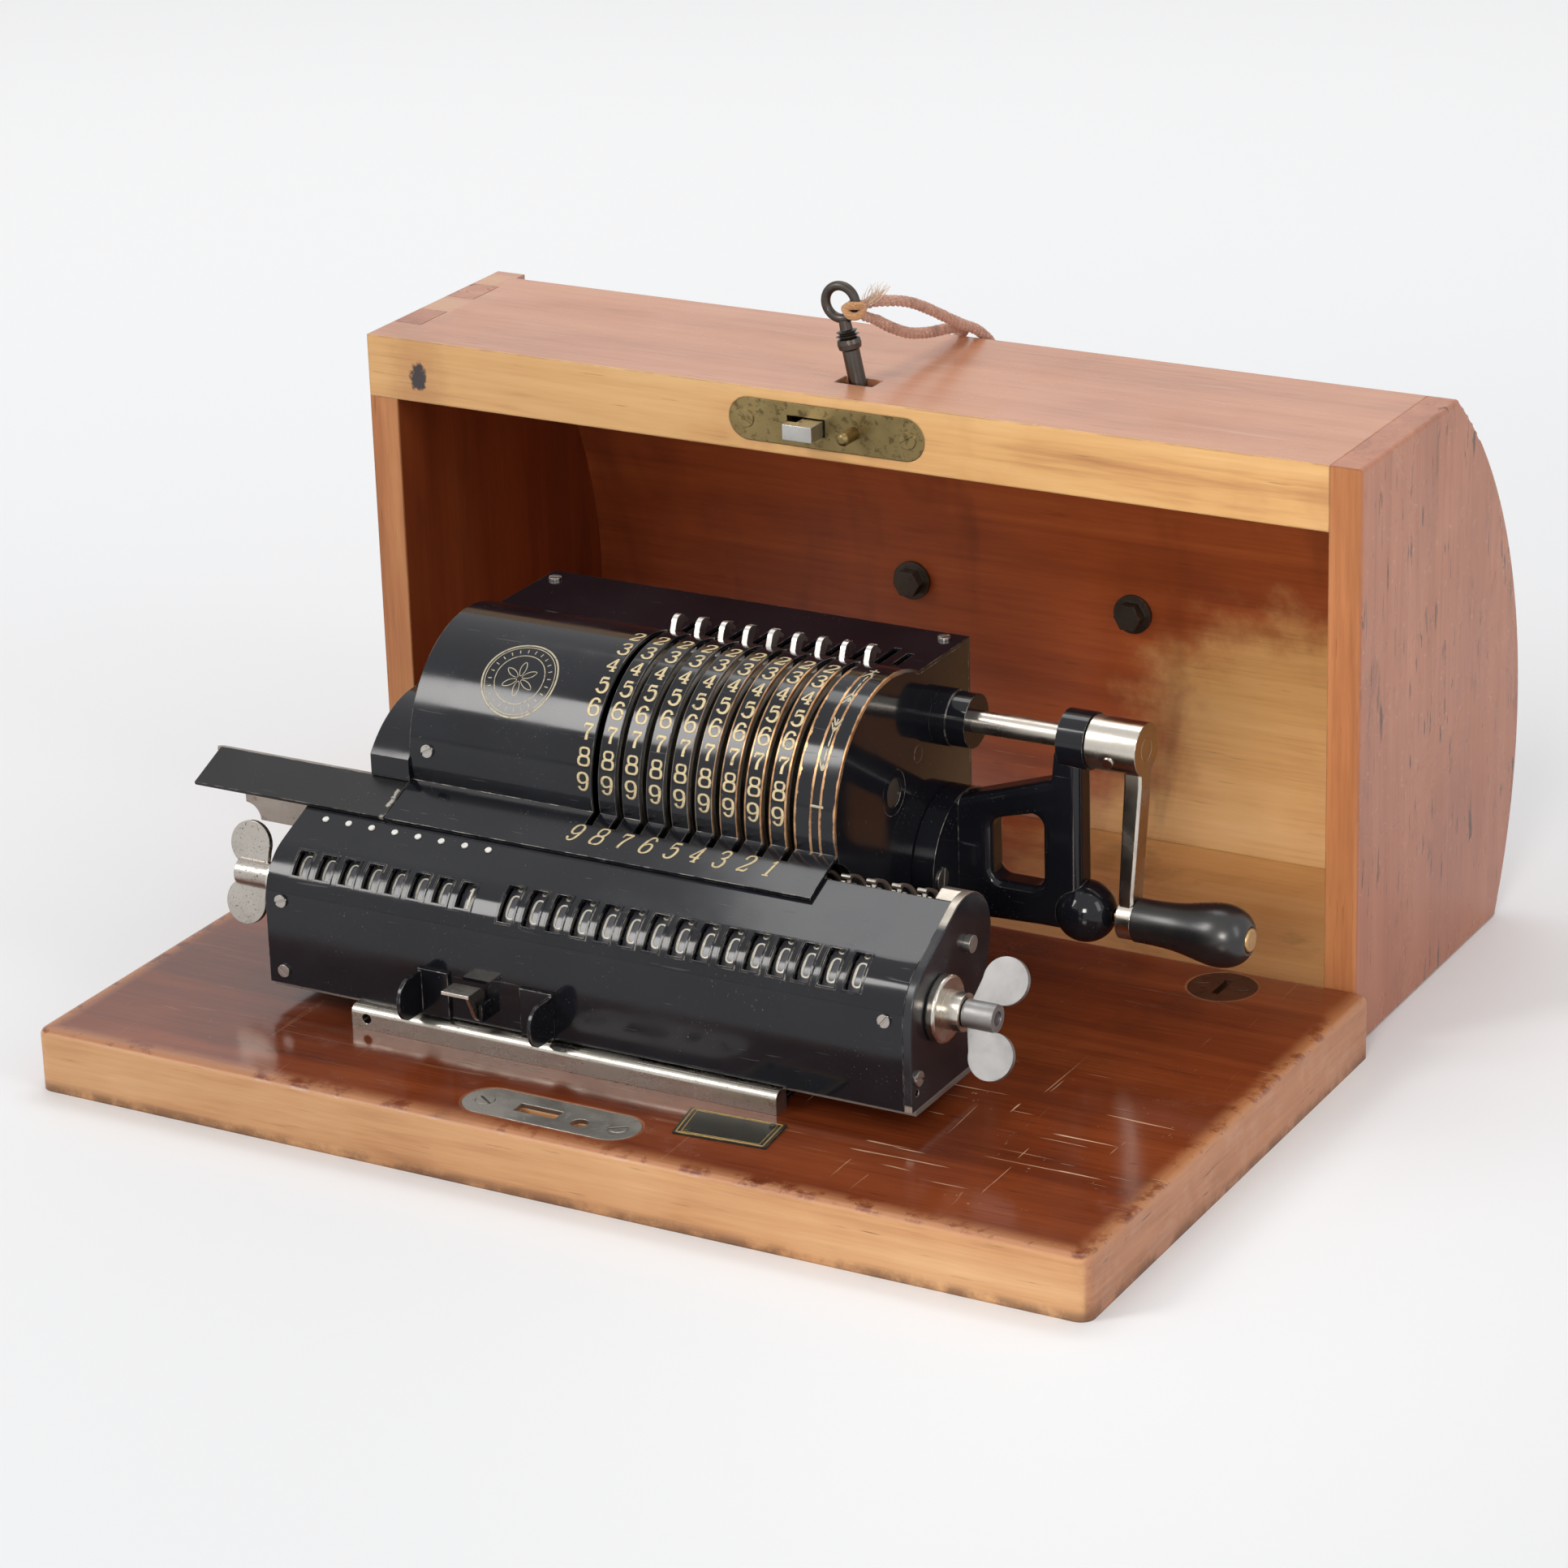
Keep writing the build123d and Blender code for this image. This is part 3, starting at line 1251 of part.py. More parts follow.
carry_offset = wheel_gear_offset + wheel_gear_width / 2 + 0.3
carry_thickness = 1.2
with BuildPart() as carry_levers:
    for centre in counter_xs[:-1] + result_xs:
        start = centre + carry_offset
        with BuildSketch(Plane.YZ.offset(start)):
            with BuildLine():
                low_in = polar(transfer_y, transfer_height, carry_inner_radius, carry_angle - 6)
                low_out = polar(transfer_y, transfer_height, carry_outer_radius + 0.8, carry_angle - 6)
                high_in = polar(transfer_y, transfer_height, carry_inner_radius, 80)
                high_out = polar(transfer_y, transfer_height, carry_outer_radius - 0.6, 80)
                Line(low_in, low_out)
                ThreePointArc(low_out, polar(transfer_y, transfer_height, carry_outer_radius, 10), high_out)
                Line(high_out, high_in)
                ThreePointArc(high_in, polar(transfer_y, transfer_height, carry_inner_radius, 10), low_in)
            make_face()
            with Locations((carry_y, carry_z)):
                Circle(2.6)
                Circle(carry_shaft_radius + running, mode=Mode.SUBTRACT)
        extrude(amount=carry_thickness)
        head_y, head_z = polar(transfer_y, transfer_height, carry_outer_radius - 1.4, 80)
        rod(start - 1.9, start + carry_thickness + 0.3, head_y, head_z, 0.9)
    sleeve_end = result_xs[-1] + carry_offset + carry_thickness
    rod(counter_xs[0] + carry_offset, sleeve_end, carry_y, carry_z, carry_shaft_radius + 0.8)
    rod(cover_left, cover_right, carry_y, carry_z, carry_shaft_radius + running, mode=Mode.SUBTRACT)
carry_levers.part.label = "carry_levers"
export_step(carry_levers.part, "parts/carry_levers.step")

# ---------------------------------------------------------------- case cover
roof_y = case_front + roof_centre_depth
lock_panel_low = case_height - lock_panel_thickness
finger_length = (sqrt(roof_radius**2 - (lock_panel_low - roof_centre_height) ** 2) + roof_centre_depth) / finger_count


def case_slice(low, high, start, end, hollow=False):
    """The case profile between two heights, extruded along X."""
    with BuildSketch(Plane.YZ.offset(start)) as profile:
        with Locations((roof_y, roof_centre_height)):
            Circle(roof_radius)
            if hollow:
                Circle(roof_radius - roof_thickness, mode=Mode.SUBTRACT)
        with Locations((case_front + case_depth / 2, (low + high) / 2)):
            Rectangle(case_depth + 2, high - low, mode=Mode.INTERSECT)
        with Locations((case_front - 50, roof_centre_height)):
            Rectangle(100, 2 * roof_radius + 10, mode=Mode.SUBTRACT)
    extrude(profile.sketch, amount=end - start)


inner_left = case_left + end_panel_thickness
inner_right = case_right - end_panel_thickness
with BuildPart() as lock_panel:
    case_slice(lock_panel_low, case_height, inner_left, inner_right)
    for n in range(0, finger_count, 2):
        finger_front = case_front + n * finger_length
        block(
            case_left,
            inner_left,
            finger_front,
            finger_front + finger_length,
            lock_panel_low,
            case_height,
        )
    block(key_x - 7.5, key_x + 7.5, key_y - 4.2, key_y + 4.2, lock_panel_low - 1, case_height + 1, mode=Mode.SUBTRACT)
    block(
        lock_x - lock_plate_width / 2 + 9,
        lock_x + lock_plate_width / 2 - 9,
        case_front - 1,
        key_y + 9,
        lock_z - lock_plate_height / 2,
        lock_z + lock_plate_height / 2 - 1.0,
        mode=Mode.SUBTRACT,
    )
    with BuildSketch(Plane.XZ.offset(-(case_front + lock_plate_thickness))):
        with Locations((lock_x, lock_z)):
            SlotOverall(lock_plate_width + 2 * slip, lock_plate_height + 2 * slip)
    extrude(amount=lock_plate_thickness + 1, mode=Mode.SUBTRACT)
lock_panel.part.label = "lock_panel"
export_step(lock_panel.part, "parts/lock_panel.step")

with BuildPart() as back_panel:
    case_slice(0, back_panel_thickness, inner_left, inner_right)
back_panel.part.label = "back_panel"
export_step(back_panel.part, "parts/back_panel.step")

with BuildPart() as roof_panel:
    case_slice(back_panel_thickness, lock_panel_low, inner_left, inner_right, hollow=True)
roof_panel.part.label = "roof_panel"
export_step(roof_panel.part, "parts/roof_panel.step")

with BuildPart() as case_end_right:
    case_slice(0, case_height, inner_right, case_right)
    fillet(case_end_right.faces().sort_by(Axis.X)[-1].edges(), 1.5)
case_end_right.part.label = "case_end_right"
export_step(case_end_right.part, "parts/case_end_right.step")

with BuildPart() as case_end_left:
    case_slice(0, case_height, case_left, inner_left)
    for n in range(0, finger_count, 2):
        finger_front = case_front + n * finger_length
        block(
            case_left,
            inner_left,
            finger_front,
            finger_front + finger_length,
            lock_panel_low,
            case_height,
            mode=Mode.SUBTRACT,
        )
case_end_left.part.label = "case_end_left"
export_step(case_end_left.part, "parts/case_end_left.step")

# carrying handle on the outside of the roof, bolted through it
handle_x = case_left + 197.6
ear_seat_y = case_front + ear_seat_depth
roof_inner = roof_radius - roof_thickness
bail_y = ear_seat_y + ear_thickness + bail_offset - bail_block
with BuildPart() as handle_fittings:
    for side in (-1, 1):
        x = handle_x + side * handle_spacing / 2
        inner_face = roof_y + sqrt(roof_inner**2 - (handle_height + 7.7 - roof_centre_height) ** 2)
        with BuildSketch(Plane.XZ.offset(-(inner_face - 1.5))):
            with Locations((x, handle_height)):
                Circle(7.5)
        extrude(amount=-1.5)
        with BuildSketch(Plane.XZ.offset(-(inner_face - 1.5))):
            with Locations((x, handle_height)):
                RegularPolygon(5.5, 6)
        extrude(amount=4.5)
        with BuildSketch(Plane.XZ.offset(-inner_face)):
            with Locations((x, handle_height)):
                Circle(2.6)
        extrude(amount=-(ear_seat_y - inner_face))
        with BuildSketch(Plane.XZ.offset(-ear_seat_y)):
            with Locations((x, handle_height)):
                RectangleRounded(12, ear_height, 3)
        extrude(amount=-ear_thickness)
        block(
            x - 4.0,
            x + 4.0,
            ear_seat_y + ear_thickness,
            bail_y + bail_block,
            handle_height - bail_block,
            handle_height + bail_block,
        )
        rod(x - 5, x + 5, bail_y, handle_height, 2.0 + running, mode=Mode.SUBTRACT)
handle_fittings.part.label = "handle_fittings"
export_step(handle_fittings.part, "parts/handle_fittings.step")

with BuildPart() as roof_bores:
    for side in (-1, 1):
        x = handle_x + side * handle_spacing / 2
        with BuildSketch(Plane.XZ.offset(-(case_front + 60))):
            with Locations((x, handle_height)):
                Circle(2.6)
        extrude(amount=-120)
roof_panel.part = roof_panel.part - roof_bores.part
roof_panel.part.label = "roof_panel"
export_step(roof_panel.part, "parts/roof_panel.step")

with BuildPart() as case_handle:
    with BuildLine() as bail_path:
        FilletPolyline(
            (handle_x - handle_spacing / 2 - 4.6, bail_y, handle_height),
            (handle_x - handle_spacing / 2 + 12, bail_y, handle_height),
            (handle_x - handle_spacing / 2 + 12, bail_y, handle_height - handle_drop),
            (handle_x + handle_spacing / 2 - 12, bail_y, handle_height - handle_drop),
            (handle_x + handle_spacing / 2 - 12, bail_y, handle_height),
            (handle_x + handle_spacing / 2 + 4.6, bail_y, handle_height),
            radius=[4.0, 8.0, 8.0, 4.0],
        )
    with BuildSketch(Plane(bail_path.line @ 0, z_dir=bail_path.line % 0)):
        Circle(2.0)
    sweep(path=bail_path.line)
    rod(
        handle_x - handle_spacing / 2 + 24,
        handle_x + handle_spacing / 2 - 24,
        bail_y,
        handle_height - handle_drop,
        4.0,
    )
case_handle.part.label = "case_handle"
export_step(case_handle.part, "parts/case_handle.step")

# ---------------------------------------------------------------- lock, key and string
lock_back = key_y + 8.0
bolt_x = lock_x - 5.0
bolt_travel = 6.0
with BuildPart() as lock_case:
    with BuildSketch(Plane.XZ.offset(-(case_front + lock_plate_thickness))):
        with Locations((lock_x, lock_z)):
            SlotOverall(lock_plate_width, lock_plate_height)
    extrude(amount=lock_plate_thickness)
    block(
        lock_x - lock_plate_width / 2 + 10,
        lock_x + lock_plate_width / 2 - 10,
        case_front + lock_plate_thickness,
        lock_back,
        lock_z - lock_plate_height / 2,
        lock_z + lock_plate_height / 2 - 1.5,
    )
    block(
        lock_x - lock_plate_width / 2 + 12,
        lock_x + lock_plate_width / 2 - 12,
        case_front + lock_plate_thickness + 1,
        lock_back - 1.5,
        lock_z - lock_plate_height / 2 + 1.5,
        lock_z + lock_plate_height / 2 - 3.0,
        mode=Mode.SUBTRACT,
    )
    block(
        bolt_x - 4.5 - bolt_travel,
        bolt_x + 4.5,
        case_front - 1,
        case_front + 5,
        lock_z - 3.2,
        lock_z + 3.2,
        mode=Mode.SUBTRACT,
    )
    block(key_x - 7, key_x + 7, key_y - 4, key_y + 4, lock_z - 2, case_height, mode=Mode.SUBTRACT)
    with BuildSketch(Plane.XZ.offset(-(case_front + lock_plate_thickness))):
        with Locations((lock_x + 11, lock_z)):
            Circle(2.4)
    extrude(amount=lock_plate_thickness + 9.5)
    fillet(lock_case.faces().sort_by(Axis.Y)[0].edges(), 1.6)
    for side in (-1, 1):
        seat = Plane(
            (lock_x + side * (lock_plate_width / 2 - 6.5), case_front, lock_z),
            x_dir=(1, 0, side * 0.6),
            z_dir=(0, -1, 0),
        )
        slotted_screw(seat, 3.2, 0.5, 0.5, 1.4)
lock_case.part.label = "lock_case"
export_step(lock_case.part, "parts/lock_case.step")

with BuildPart() as lock_bolt:
    block(bolt_x - 4.0, bolt_x + 4.0, case_front - 5.5, case_front + 8, lock_z - 2.8, lock_z + 2.8)
    block(bolt_x - 7.5, bolt_x - 3.0, case_front - 9.0, case_front - 5.0, lock_z - 2.8, lock_z + 2.8)
    block(bolt_x - 3.5, bolt_x + 4.0, case_front - 9.0, case_front - 5.5, lock_z - 2.8, lock_z + 2.8)
lock_bolt.part.label = "lock_bolt"
export_step(lock_bolt.part, "parts/lock_bolt.step")

lean = radians(key_lean)
key_axis = (-sin(lean), 0, cos(lean))
key_foot = (key_x - 0.5 - (case_height - 12 - case_height) * sin(lean), key_y, case_height - 12)
bow_centre = (
    key_x - 0.5 - key_bow_rise * sin(lean),
    key_y,
    case_height + key_bow_rise * cos(lean),
)
camera_turn = radians(0)
with BuildPart() as key:
    foot_plane = Plane(
        (key_x - 0.5 + 10.5 * sin(lean), key_y, case_height - 10.5 * cos(lean)),
        x_dir=(cos(lean), 0, sin(lean)),
        z_dir=key_axis,
    )
    neck = key_bow_rise + 10.5 - key_bow_radius
    with BuildSketch(Plane(foot_plane.origin, x_dir=foot_plane.x_dir, z_dir=(0, -1, 0))):
        Polygon(
            (0, 0),
            (key_shaft_radius, 0),
            (key_shaft_radius, neck - 9.6),
            (key_shaft_radius + 0.9, neck - 9.0),
            (key_shaft_radius + 1.2, neck - 7.2),
            (key_shaft_radius + 0.9, neck - 5.6),
            (key_shaft_radius - 0.4, neck - 5.0),
            (key_shaft_radius + 1.1, neck - 4.3),
            (key_shaft_radius - 0.5, neck - 3.8),
            (key_shaft_radius + 0.7, neck - 2.8),
            (key_shaft_radius - 0.8, neck - 2.3),
            (key_shaft_radius - 1.0, neck + 1.0),
            (0, neck + 1.0),
            align=None,
        )
    revolve(axis=Axis(foot_plane.origin, key_axis))
    with Locations(Plane(bow_centre, x_dir=(cos(lean), 0, sin(lean)), z_dir=(0, -1, 0))):
        Torus(key_bow_radius - key_bow_wire, key_bow_wire)
key.part.label = "key"
export_step(key.part, "parts/key.step")

knot_x = bow_centre[0] + (key_bow_radius - key_bow_wire) * cos(radians(-22))
knot_z = bow_centre[2] + (key_bow_radius - key_bow_wire) * sin(radians(-22))
with BuildPart() as string_knot:
    with Locations((knot_x, key_y, knot_z)):
        Sphere(3.9)
    with Locations(Plane(bow_centre, x_dir=(cos(lean), 0, sin(lean)), z_dir=(0, -1, 0))):
        Torus(key_bow_radius - key_bow_wire, key_bow_wire, mode=Mode.SUBTRACT)
string_knot.part.label = "string_knot"
export_step(string_knot.part, "parts/string_knot.step")

# the string leaves the knot, lies over the rear edge of the lock panel and comes back as a loop;
# points are offsets along X from the key, depths behind the case front and heights
string_points = [
    (1.0, 31.5, 235.6),
    (6.5, 43.0, 234.0),
    (9.2, 60.0, 225.5),
    (12.0, 76.0, 216.4),
    (13.6, 88.0, 211.2),
    (14.4, 100.5, 199.5),
    (15.0, 114.0, 186.0),
    (15.0, 124.0, 172.5),
    (6.5, 129.5, 163.5),
    (-5.5, 129.5, 163.5),
    (-14.0, 124.0, 172.5),
    (-14.0, 114.0, 186.0),
    (-8.0, 104.5, 197.5),
    (1.0, 96.5, 206.0),
    (7.6, 88.5, 211.2),
    (7.4, 76.0, 214.6),
    (5.6, 60.0, 216.6),
    (3.4, 45.0, 220.8),
    (0.8, 32.0, 229.0),
]
string_route = [Vector(key_x + x, case_front + y, z) for x, y, z in string_points]


def bend_radii(points):
    """Largest radii that let neighbouring arcs of a route share their runs."""
    radii = []
    for before, here, after in zip(points, points[1:], points[2:]):
        turn = radians((here - before).get_angle(after - here))
        radii.append(0.45 * min((here - before).length, (after - here).length) / tan(turn / 2))
    return radii


string_radii = bend_radii(string_route)
with BuildPart() as key_string:
    with BuildLine() as string_path:
        FilletPolyline(*string_route, radius=string_radii)
    with BuildSketch(Plane(string_path.line @ 0, z_dir=string_path.line % 0)):
        Circle(string_diameter / 2)
    sweep(path=string_path.line)
key_string.part.label = "key_string"
export_step(key_string.part, "parts/key_string.step")
print("string radii", [round(radius, 1) for radius in string_radii])
print("string length", round(string_path.wires()[0].length, 1))
print(
    "string volume",
    round(key_string.part.volume, 1),
    "section times length",
    round(pi * string_diameter**2 / 4 * string_path.wires()[0].length, 1),
)
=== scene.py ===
"""Looks of the pinwheel calculator on its base board, with the lifted case cover behind it.

Every length in the piece classes is in millimetres in the model's own frame, and MM turns it
into metres. X runs along the board, Y to the rear, Z up, with the board's middle at the origin.
"""
import logging
import math
from dataclasses import dataclass, field
from enum import Enum
from random import Random
from typing import Callable, Optional, Sequence, Union

import bmesh
import bpy
from mathutils import Matrix, Vector


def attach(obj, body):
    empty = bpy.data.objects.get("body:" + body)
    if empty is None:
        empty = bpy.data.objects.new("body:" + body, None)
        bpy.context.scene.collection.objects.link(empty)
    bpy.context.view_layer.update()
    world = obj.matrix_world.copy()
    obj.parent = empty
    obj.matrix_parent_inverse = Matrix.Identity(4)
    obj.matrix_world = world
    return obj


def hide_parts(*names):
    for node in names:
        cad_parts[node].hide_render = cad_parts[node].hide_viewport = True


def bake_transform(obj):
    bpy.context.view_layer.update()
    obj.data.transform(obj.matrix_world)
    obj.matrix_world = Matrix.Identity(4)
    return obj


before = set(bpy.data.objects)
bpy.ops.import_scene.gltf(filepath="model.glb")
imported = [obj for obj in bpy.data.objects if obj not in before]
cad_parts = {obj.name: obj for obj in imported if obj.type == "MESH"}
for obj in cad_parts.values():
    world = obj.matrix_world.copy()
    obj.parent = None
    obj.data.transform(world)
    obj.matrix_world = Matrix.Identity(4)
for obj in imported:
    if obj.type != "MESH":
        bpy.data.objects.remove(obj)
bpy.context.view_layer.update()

MM = 0.001
LOG = logging.getLogger("calculator")

Colour = tuple[float, float, float]
Value = Union["Signal", float, int, Sequence[float]]


# ---------------------------------------------------------------- shader maths


class Signal:
    """One output socket of a finish's nodes, with arithmetic."""

    def __init__(self, sheet: "NodeSheet", socket: bpy.types.NodeSocket) -> None:
        """Args: sheet: the finish that the socket is in. socket: the output itself."""
        self.sheet = sheet
        self.socket = socket

    def _maths(self, operation: str, first: Value, second: Value = 0.0) -> "Signal":
        """Returns: the Math node's result on two values."""
        return self.sheet.node("ShaderNodeMath", {"operation": operation}, {0: first, 1: second})

    def __add__(self, other: Value) -> "Signal":
        """Returns: the sum."""
        return self._maths("ADD", self, other)

    __radd__ = __add__

    def __sub__(self, other: Value) -> "Signal":
        """Returns: this less the other."""
        return self._maths("SUBTRACT", self, other)

    def __rsub__(self, other: Value) -> "Signal":
        """Returns: the other less this."""
        return self._maths("SUBTRACT", other, self)

    def __mul__(self, other: Value) -> "Signal":
        """Returns: the product."""
        return self._maths("MULTIPLY", self, other)

    __rmul__ = __mul__

    def __abs__(self) -> "Signal":
        """Returns: the size without its sign."""
        return self._maths("ABSOLUTE", self)

    def root(self) -> "Signal":
        """Returns: the square root."""
        return self._maths("SQRT", self)

    def most(self, other: Value) -> "Signal":
        """Returns: the larger of the two."""
        return self._maths("MAXIMUM", self, other)

    def least(self, other: Value) -> "Signal":
        """Returns: the smaller of the two."""
        return self._maths("MINIMUM", self, other)

    def wrap(self, step: float) -> "Signal":
        """Returns: what is left over whole steps."""
        return self._maths("FLOORED_MODULO", self, step)

    def rise(self, low: float, high: float) -> "Signal":
        """Returns: 0 below low, 1 above high and a smooth rise between; low over high falls."""
        return self.sheet.node(
            "ShaderNodeMapRange", {"interpolation_type": "SMOOTHSTEP"},
            {0: self, 1: low, 2: high, 3: 0.0, 4: 1.0}
        )


class NodeSheet:
    """The node tree of one finish, with a method for each step that finishes repeat."""

    def __init__(self, name: str) -> None:
        """Args: name: the material's name."""
        self.material = bpy.data.materials.new(name)
        self.material.use_nodes = True
        self.tree = self.material.node_tree
        self.tree.nodes.clear()

    def node(
        self, kind: str, settings: Optional[dict] = None, values: Optional[dict] = None,
        output: Union[int, str] = 0
    ) -> Signal:
        """Adds any node.

        Args:
            kind: the node's type.
            settings: its settings, which are set first; "stops" holds a ramp's places and colours.
            values: a value or link for each named or numbered input.
            output: which output is returned.

        Returns:
            The chosen output.
        """
        made = self.tree.nodes.new(kind)
        for key, value in (settings or {}).items():
            if key != "stops":
                setattr(made, key, value)
                continue
            ramp = made.color_ramp
            while len(ramp.elements) < len(value):
                ramp.elements.new(0.5)
            for element, (place, colour) in zip(ramp.elements, value):
                element.position = place
                element.color = (*colour, 1.0)
        for key, value in (values or {}).items():
            socket = made.inputs[key]
            if isinstance(value, Signal):
                self.tree.links.new(value.socket, socket)
            elif isinstance(value, (int, float)):
                socket.default_value = value
            else:
                many = list(value)
                socket.default_value = many + [1.0] if len(many) < len(socket.default_value) else many
        return Signal(self, made.outputs[output]) if len(made.outputs) else Signal(self, None)

    def place(self, scale: Sequence[float] = (1, 1, 1), turn: Sequence[float] = (0, 0, 0),
              shift: Sequence[float] = (0, 0, 0)) -> Signal:
        """Returns: Object coordinates, shifted, turned and scaled by a Mapping node."""
        at = self.node("ShaderNodeTexCoord", output="Object")
        return self.node("ShaderNodeMapping", {},
                         {"Vector": at, "Scale": scale, "Rotation": turn, "Location": shift})

    def axes(self) -> tuple[Signal, Signal, Signal]:
        """Returns: the place in millimetres along X, Y and Z."""
        at = self.place(scale=(1 / MM, 1 / MM, 1 / MM))
        split = self.node("ShaderNodeSeparateXYZ", {}, {0: at})
        outputs = split.socket.node.outputs
        return tuple(Signal(self, outputs[n]) for n in range(3))

    def facing(self, axis: int) -> Signal:
        """Returns: the surface direction's part along X, Y or Z, from -1 to 1."""
        normal = self.node("ShaderNodeNewGeometry", output="Normal")
        split = self.node("ShaderNodeSeparateXYZ", {}, {0: normal})
        return Signal(self, split.socket.node.outputs[axis])

    def noise(self, scale: float, detail: float = 3.0, rough: float = 0.55, warp: float = 0.0,
              vector: Optional[Signal] = None) -> Signal:
        """Returns: noise from 0 to 1, about scale spots in a metre unless the vector is stretched."""
        return self.node(
            "ShaderNodeTexNoise", {},
            {"Vector": vector or self.place(), "Scale": scale, "Detail": detail, "Roughness": rough,
             "Distortion": warp},
        )

    def mix(self, share: Value, first: Value, second: Value, blend: str = "MIX") -> Signal:
        """Returns: the first colour turned into the second by the share."""
        return self.node("ShaderNodeMix", {"data_type": "RGBA", "blend_type": blend},
                         {0: share, 6: first, 7: second}, 2)

    def ramp(self, value: Value, stops: Sequence[tuple[float, Colour]]) -> Signal:
        """Returns: the colour that a ramp gives the value."""
        return self.node("ShaderNodeValToRGB", {"stops": stops}, {0: value})

    def rounded(self, radius: float) -> Signal:
        """Returns: the direction of the surface with its edges rounded by the radius in millimetres."""
        return self.node("ShaderNodeBevel", {"samples": 4}, {"Radius": radius * MM})

    def edges(self, radius: float, low: float = 0.03, high: float = 0.22) -> Signal:
        """Returns: 1 on edges and 0 away from them, about the radius in millimetres wide."""
        plain = self.node("ShaderNodeNewGeometry", output="Normal")
        met = self.node("ShaderNodeVectorMath", {"operation": "DOT_PRODUCT"},
                        {0: self.rounded(radius), 1: plain}, 1)
        return (1 - met).rise(low, high)

    def bump(self, height: Value, depth: float, strength: float = 1.0,
             normal: Optional[Signal] = None) -> Signal:
        """Returns: the direction of the surface with the height raised by the depth in millimetres."""
        values = {"Strength": strength, "Distance": depth * MM, "Height": height}
        if normal is not None:
            values["Normal"] = normal
        return self.node("ShaderNodeBump", {}, values)

    def finish(self, values: dict) -> bpy.types.Material:
        """Returns: the material, with these inputs on its shader."""
        shader = self.node("ShaderNodeBsdfPrincipled", {}, values)
        self.node("ShaderNodeOutputMaterial", {}, {"Surface": shader})
        return self.material


# ---------------------------------------------------------------- finishes


class Wear(Enum):
    """Where a lacquered piece has lost its paint."""

    EDGES = "edges"
    SLOTS = "slots"
    SEAM = "seam"
    PLAIN = "plain"


@dataclass(frozen=True)
class Lacquer:
    """Stoved near-black lacquer, glossy, with rubbed edges, dust and fine scratches."""

    name: str
    wear: Wear = Wear.EDGES
    colour: Colour = (0.0065, 0.0070, 0.0095)
    bare: Colour = (0.42, 0.38, 0.33)
    gloss: float = 0.09
    wave: float = 0.10
    edge: float = 0.45

    def build(self) -> bpy.types.Material:
        """Returns: the material."""
        sheet = NodeSheet(self.name)
        x, y, z = sheet.axes()
        cloud = sheet.noise(26, 4)
        fine = sheet.noise(900, 3, 0.7)
        dust = sheet.noise(1500, 1).rise(0.71, 0.78) * sheet.noise(60, 2).rise(0.45, 0.7)
        streak = sheet.noise(1, 2, 0.5, 0.4,
                             sheet.place(scale=(60, 900, 900), turn=(0, 0.2, 0.5))).rise(0.70, 0.74)
        rubbed = sheet.edges(self.edge) * sheet.noise(130, 3, 0.7).rise(0.42, 0.60)
        bare: Value = self.bare
        if self.wear is Wear.SLOTS:
            comb = (x - 43.7 + 4.7).wrap(9.4) - 4.7
            jag = sheet.noise(190, 4, 0.65)
            reach = x.rise(-14, 52) * 1.3 + 0.05
            drum = ((y + 50.35) * (y + 50.35) + (z - 102.5) * (z - 102.5)).root().rise(43.5, 42.5)
            beside = abs(comb)
            slot = (beside - 1.45 - jag * reach * 0.9).rise(0.22, 0.0) * (beside - 1.3).rise(0, 0.1)
            slot = slot * x.rise(-36, -32) * z.rise(92, 97) * y.rise(-50,
                -56) * drum * (x.rise(-24, 44) * 0.85 + 0.15)
            strip = (beside - 1.45 - (jag - 0.38) * 4.2).rise(0.3, 0) * x.rise(44.6, 45.0) * x.rise(50.0,
                49.4)
            strip = strip * z.rise(104, 122) * y.rise(-46, -54)
            rim = (60.5 - x - (jag - 0.2) * 1.5).rise(0.25, 0.0) * z.rise(96, 104) * y.rise(-30, -60)
            copper = slot.most(strip).most(rim)
            rubbed = rubbed.most(copper)
            bare = sheet.mix(copper.rise(0.2, 0.8), self.bare,
                             sheet.ramp(jag, [(0.35, (0.30, 0.13, 0.05)), (0.65, (0.62, 0.36, 0.18))]))
        if self.wear is Wear.SEAM:
            seam = abs(x + 107.2 + (sheet.noise(160, 4) - 0.5) * 5)
            rubbed = rubbed.most(seam.rise(1.0, 0.5) * sheet.noise(240, 3).rise(0.45, 0.55))
        base = sheet.mix(cloud.rise(0.35, 0.75) * 0.5, self.colour, tuple(2.1 * c for c in self.colour))
        base = sheet.mix(dust * 0.5, base, (0.32, 0.29, 0.26))
        base = sheet.mix(streak * 0.12, base, (0.25, 0.25, 0.27))
        base = sheet.mix(rubbed, base, bare)
        rough = self.gloss + cloud.rise(0.4, 0.8) * 0.08 + dust * 0.3 + streak * 0.12 + rubbed * 0.22
        high = sheet.noise(34, 2) * 1.0 + fine * 0.02 - rubbed * 0.25
        normal = sheet.bump(high, self.wave, 0.55, sheet.rounded(self.edge * 0.8))
        return sheet.finish({"Base Color": base, "Metallic": rubbed * 0.75, "Roughness": rough,
                             "Normal": normal, "IOR": 1.42})


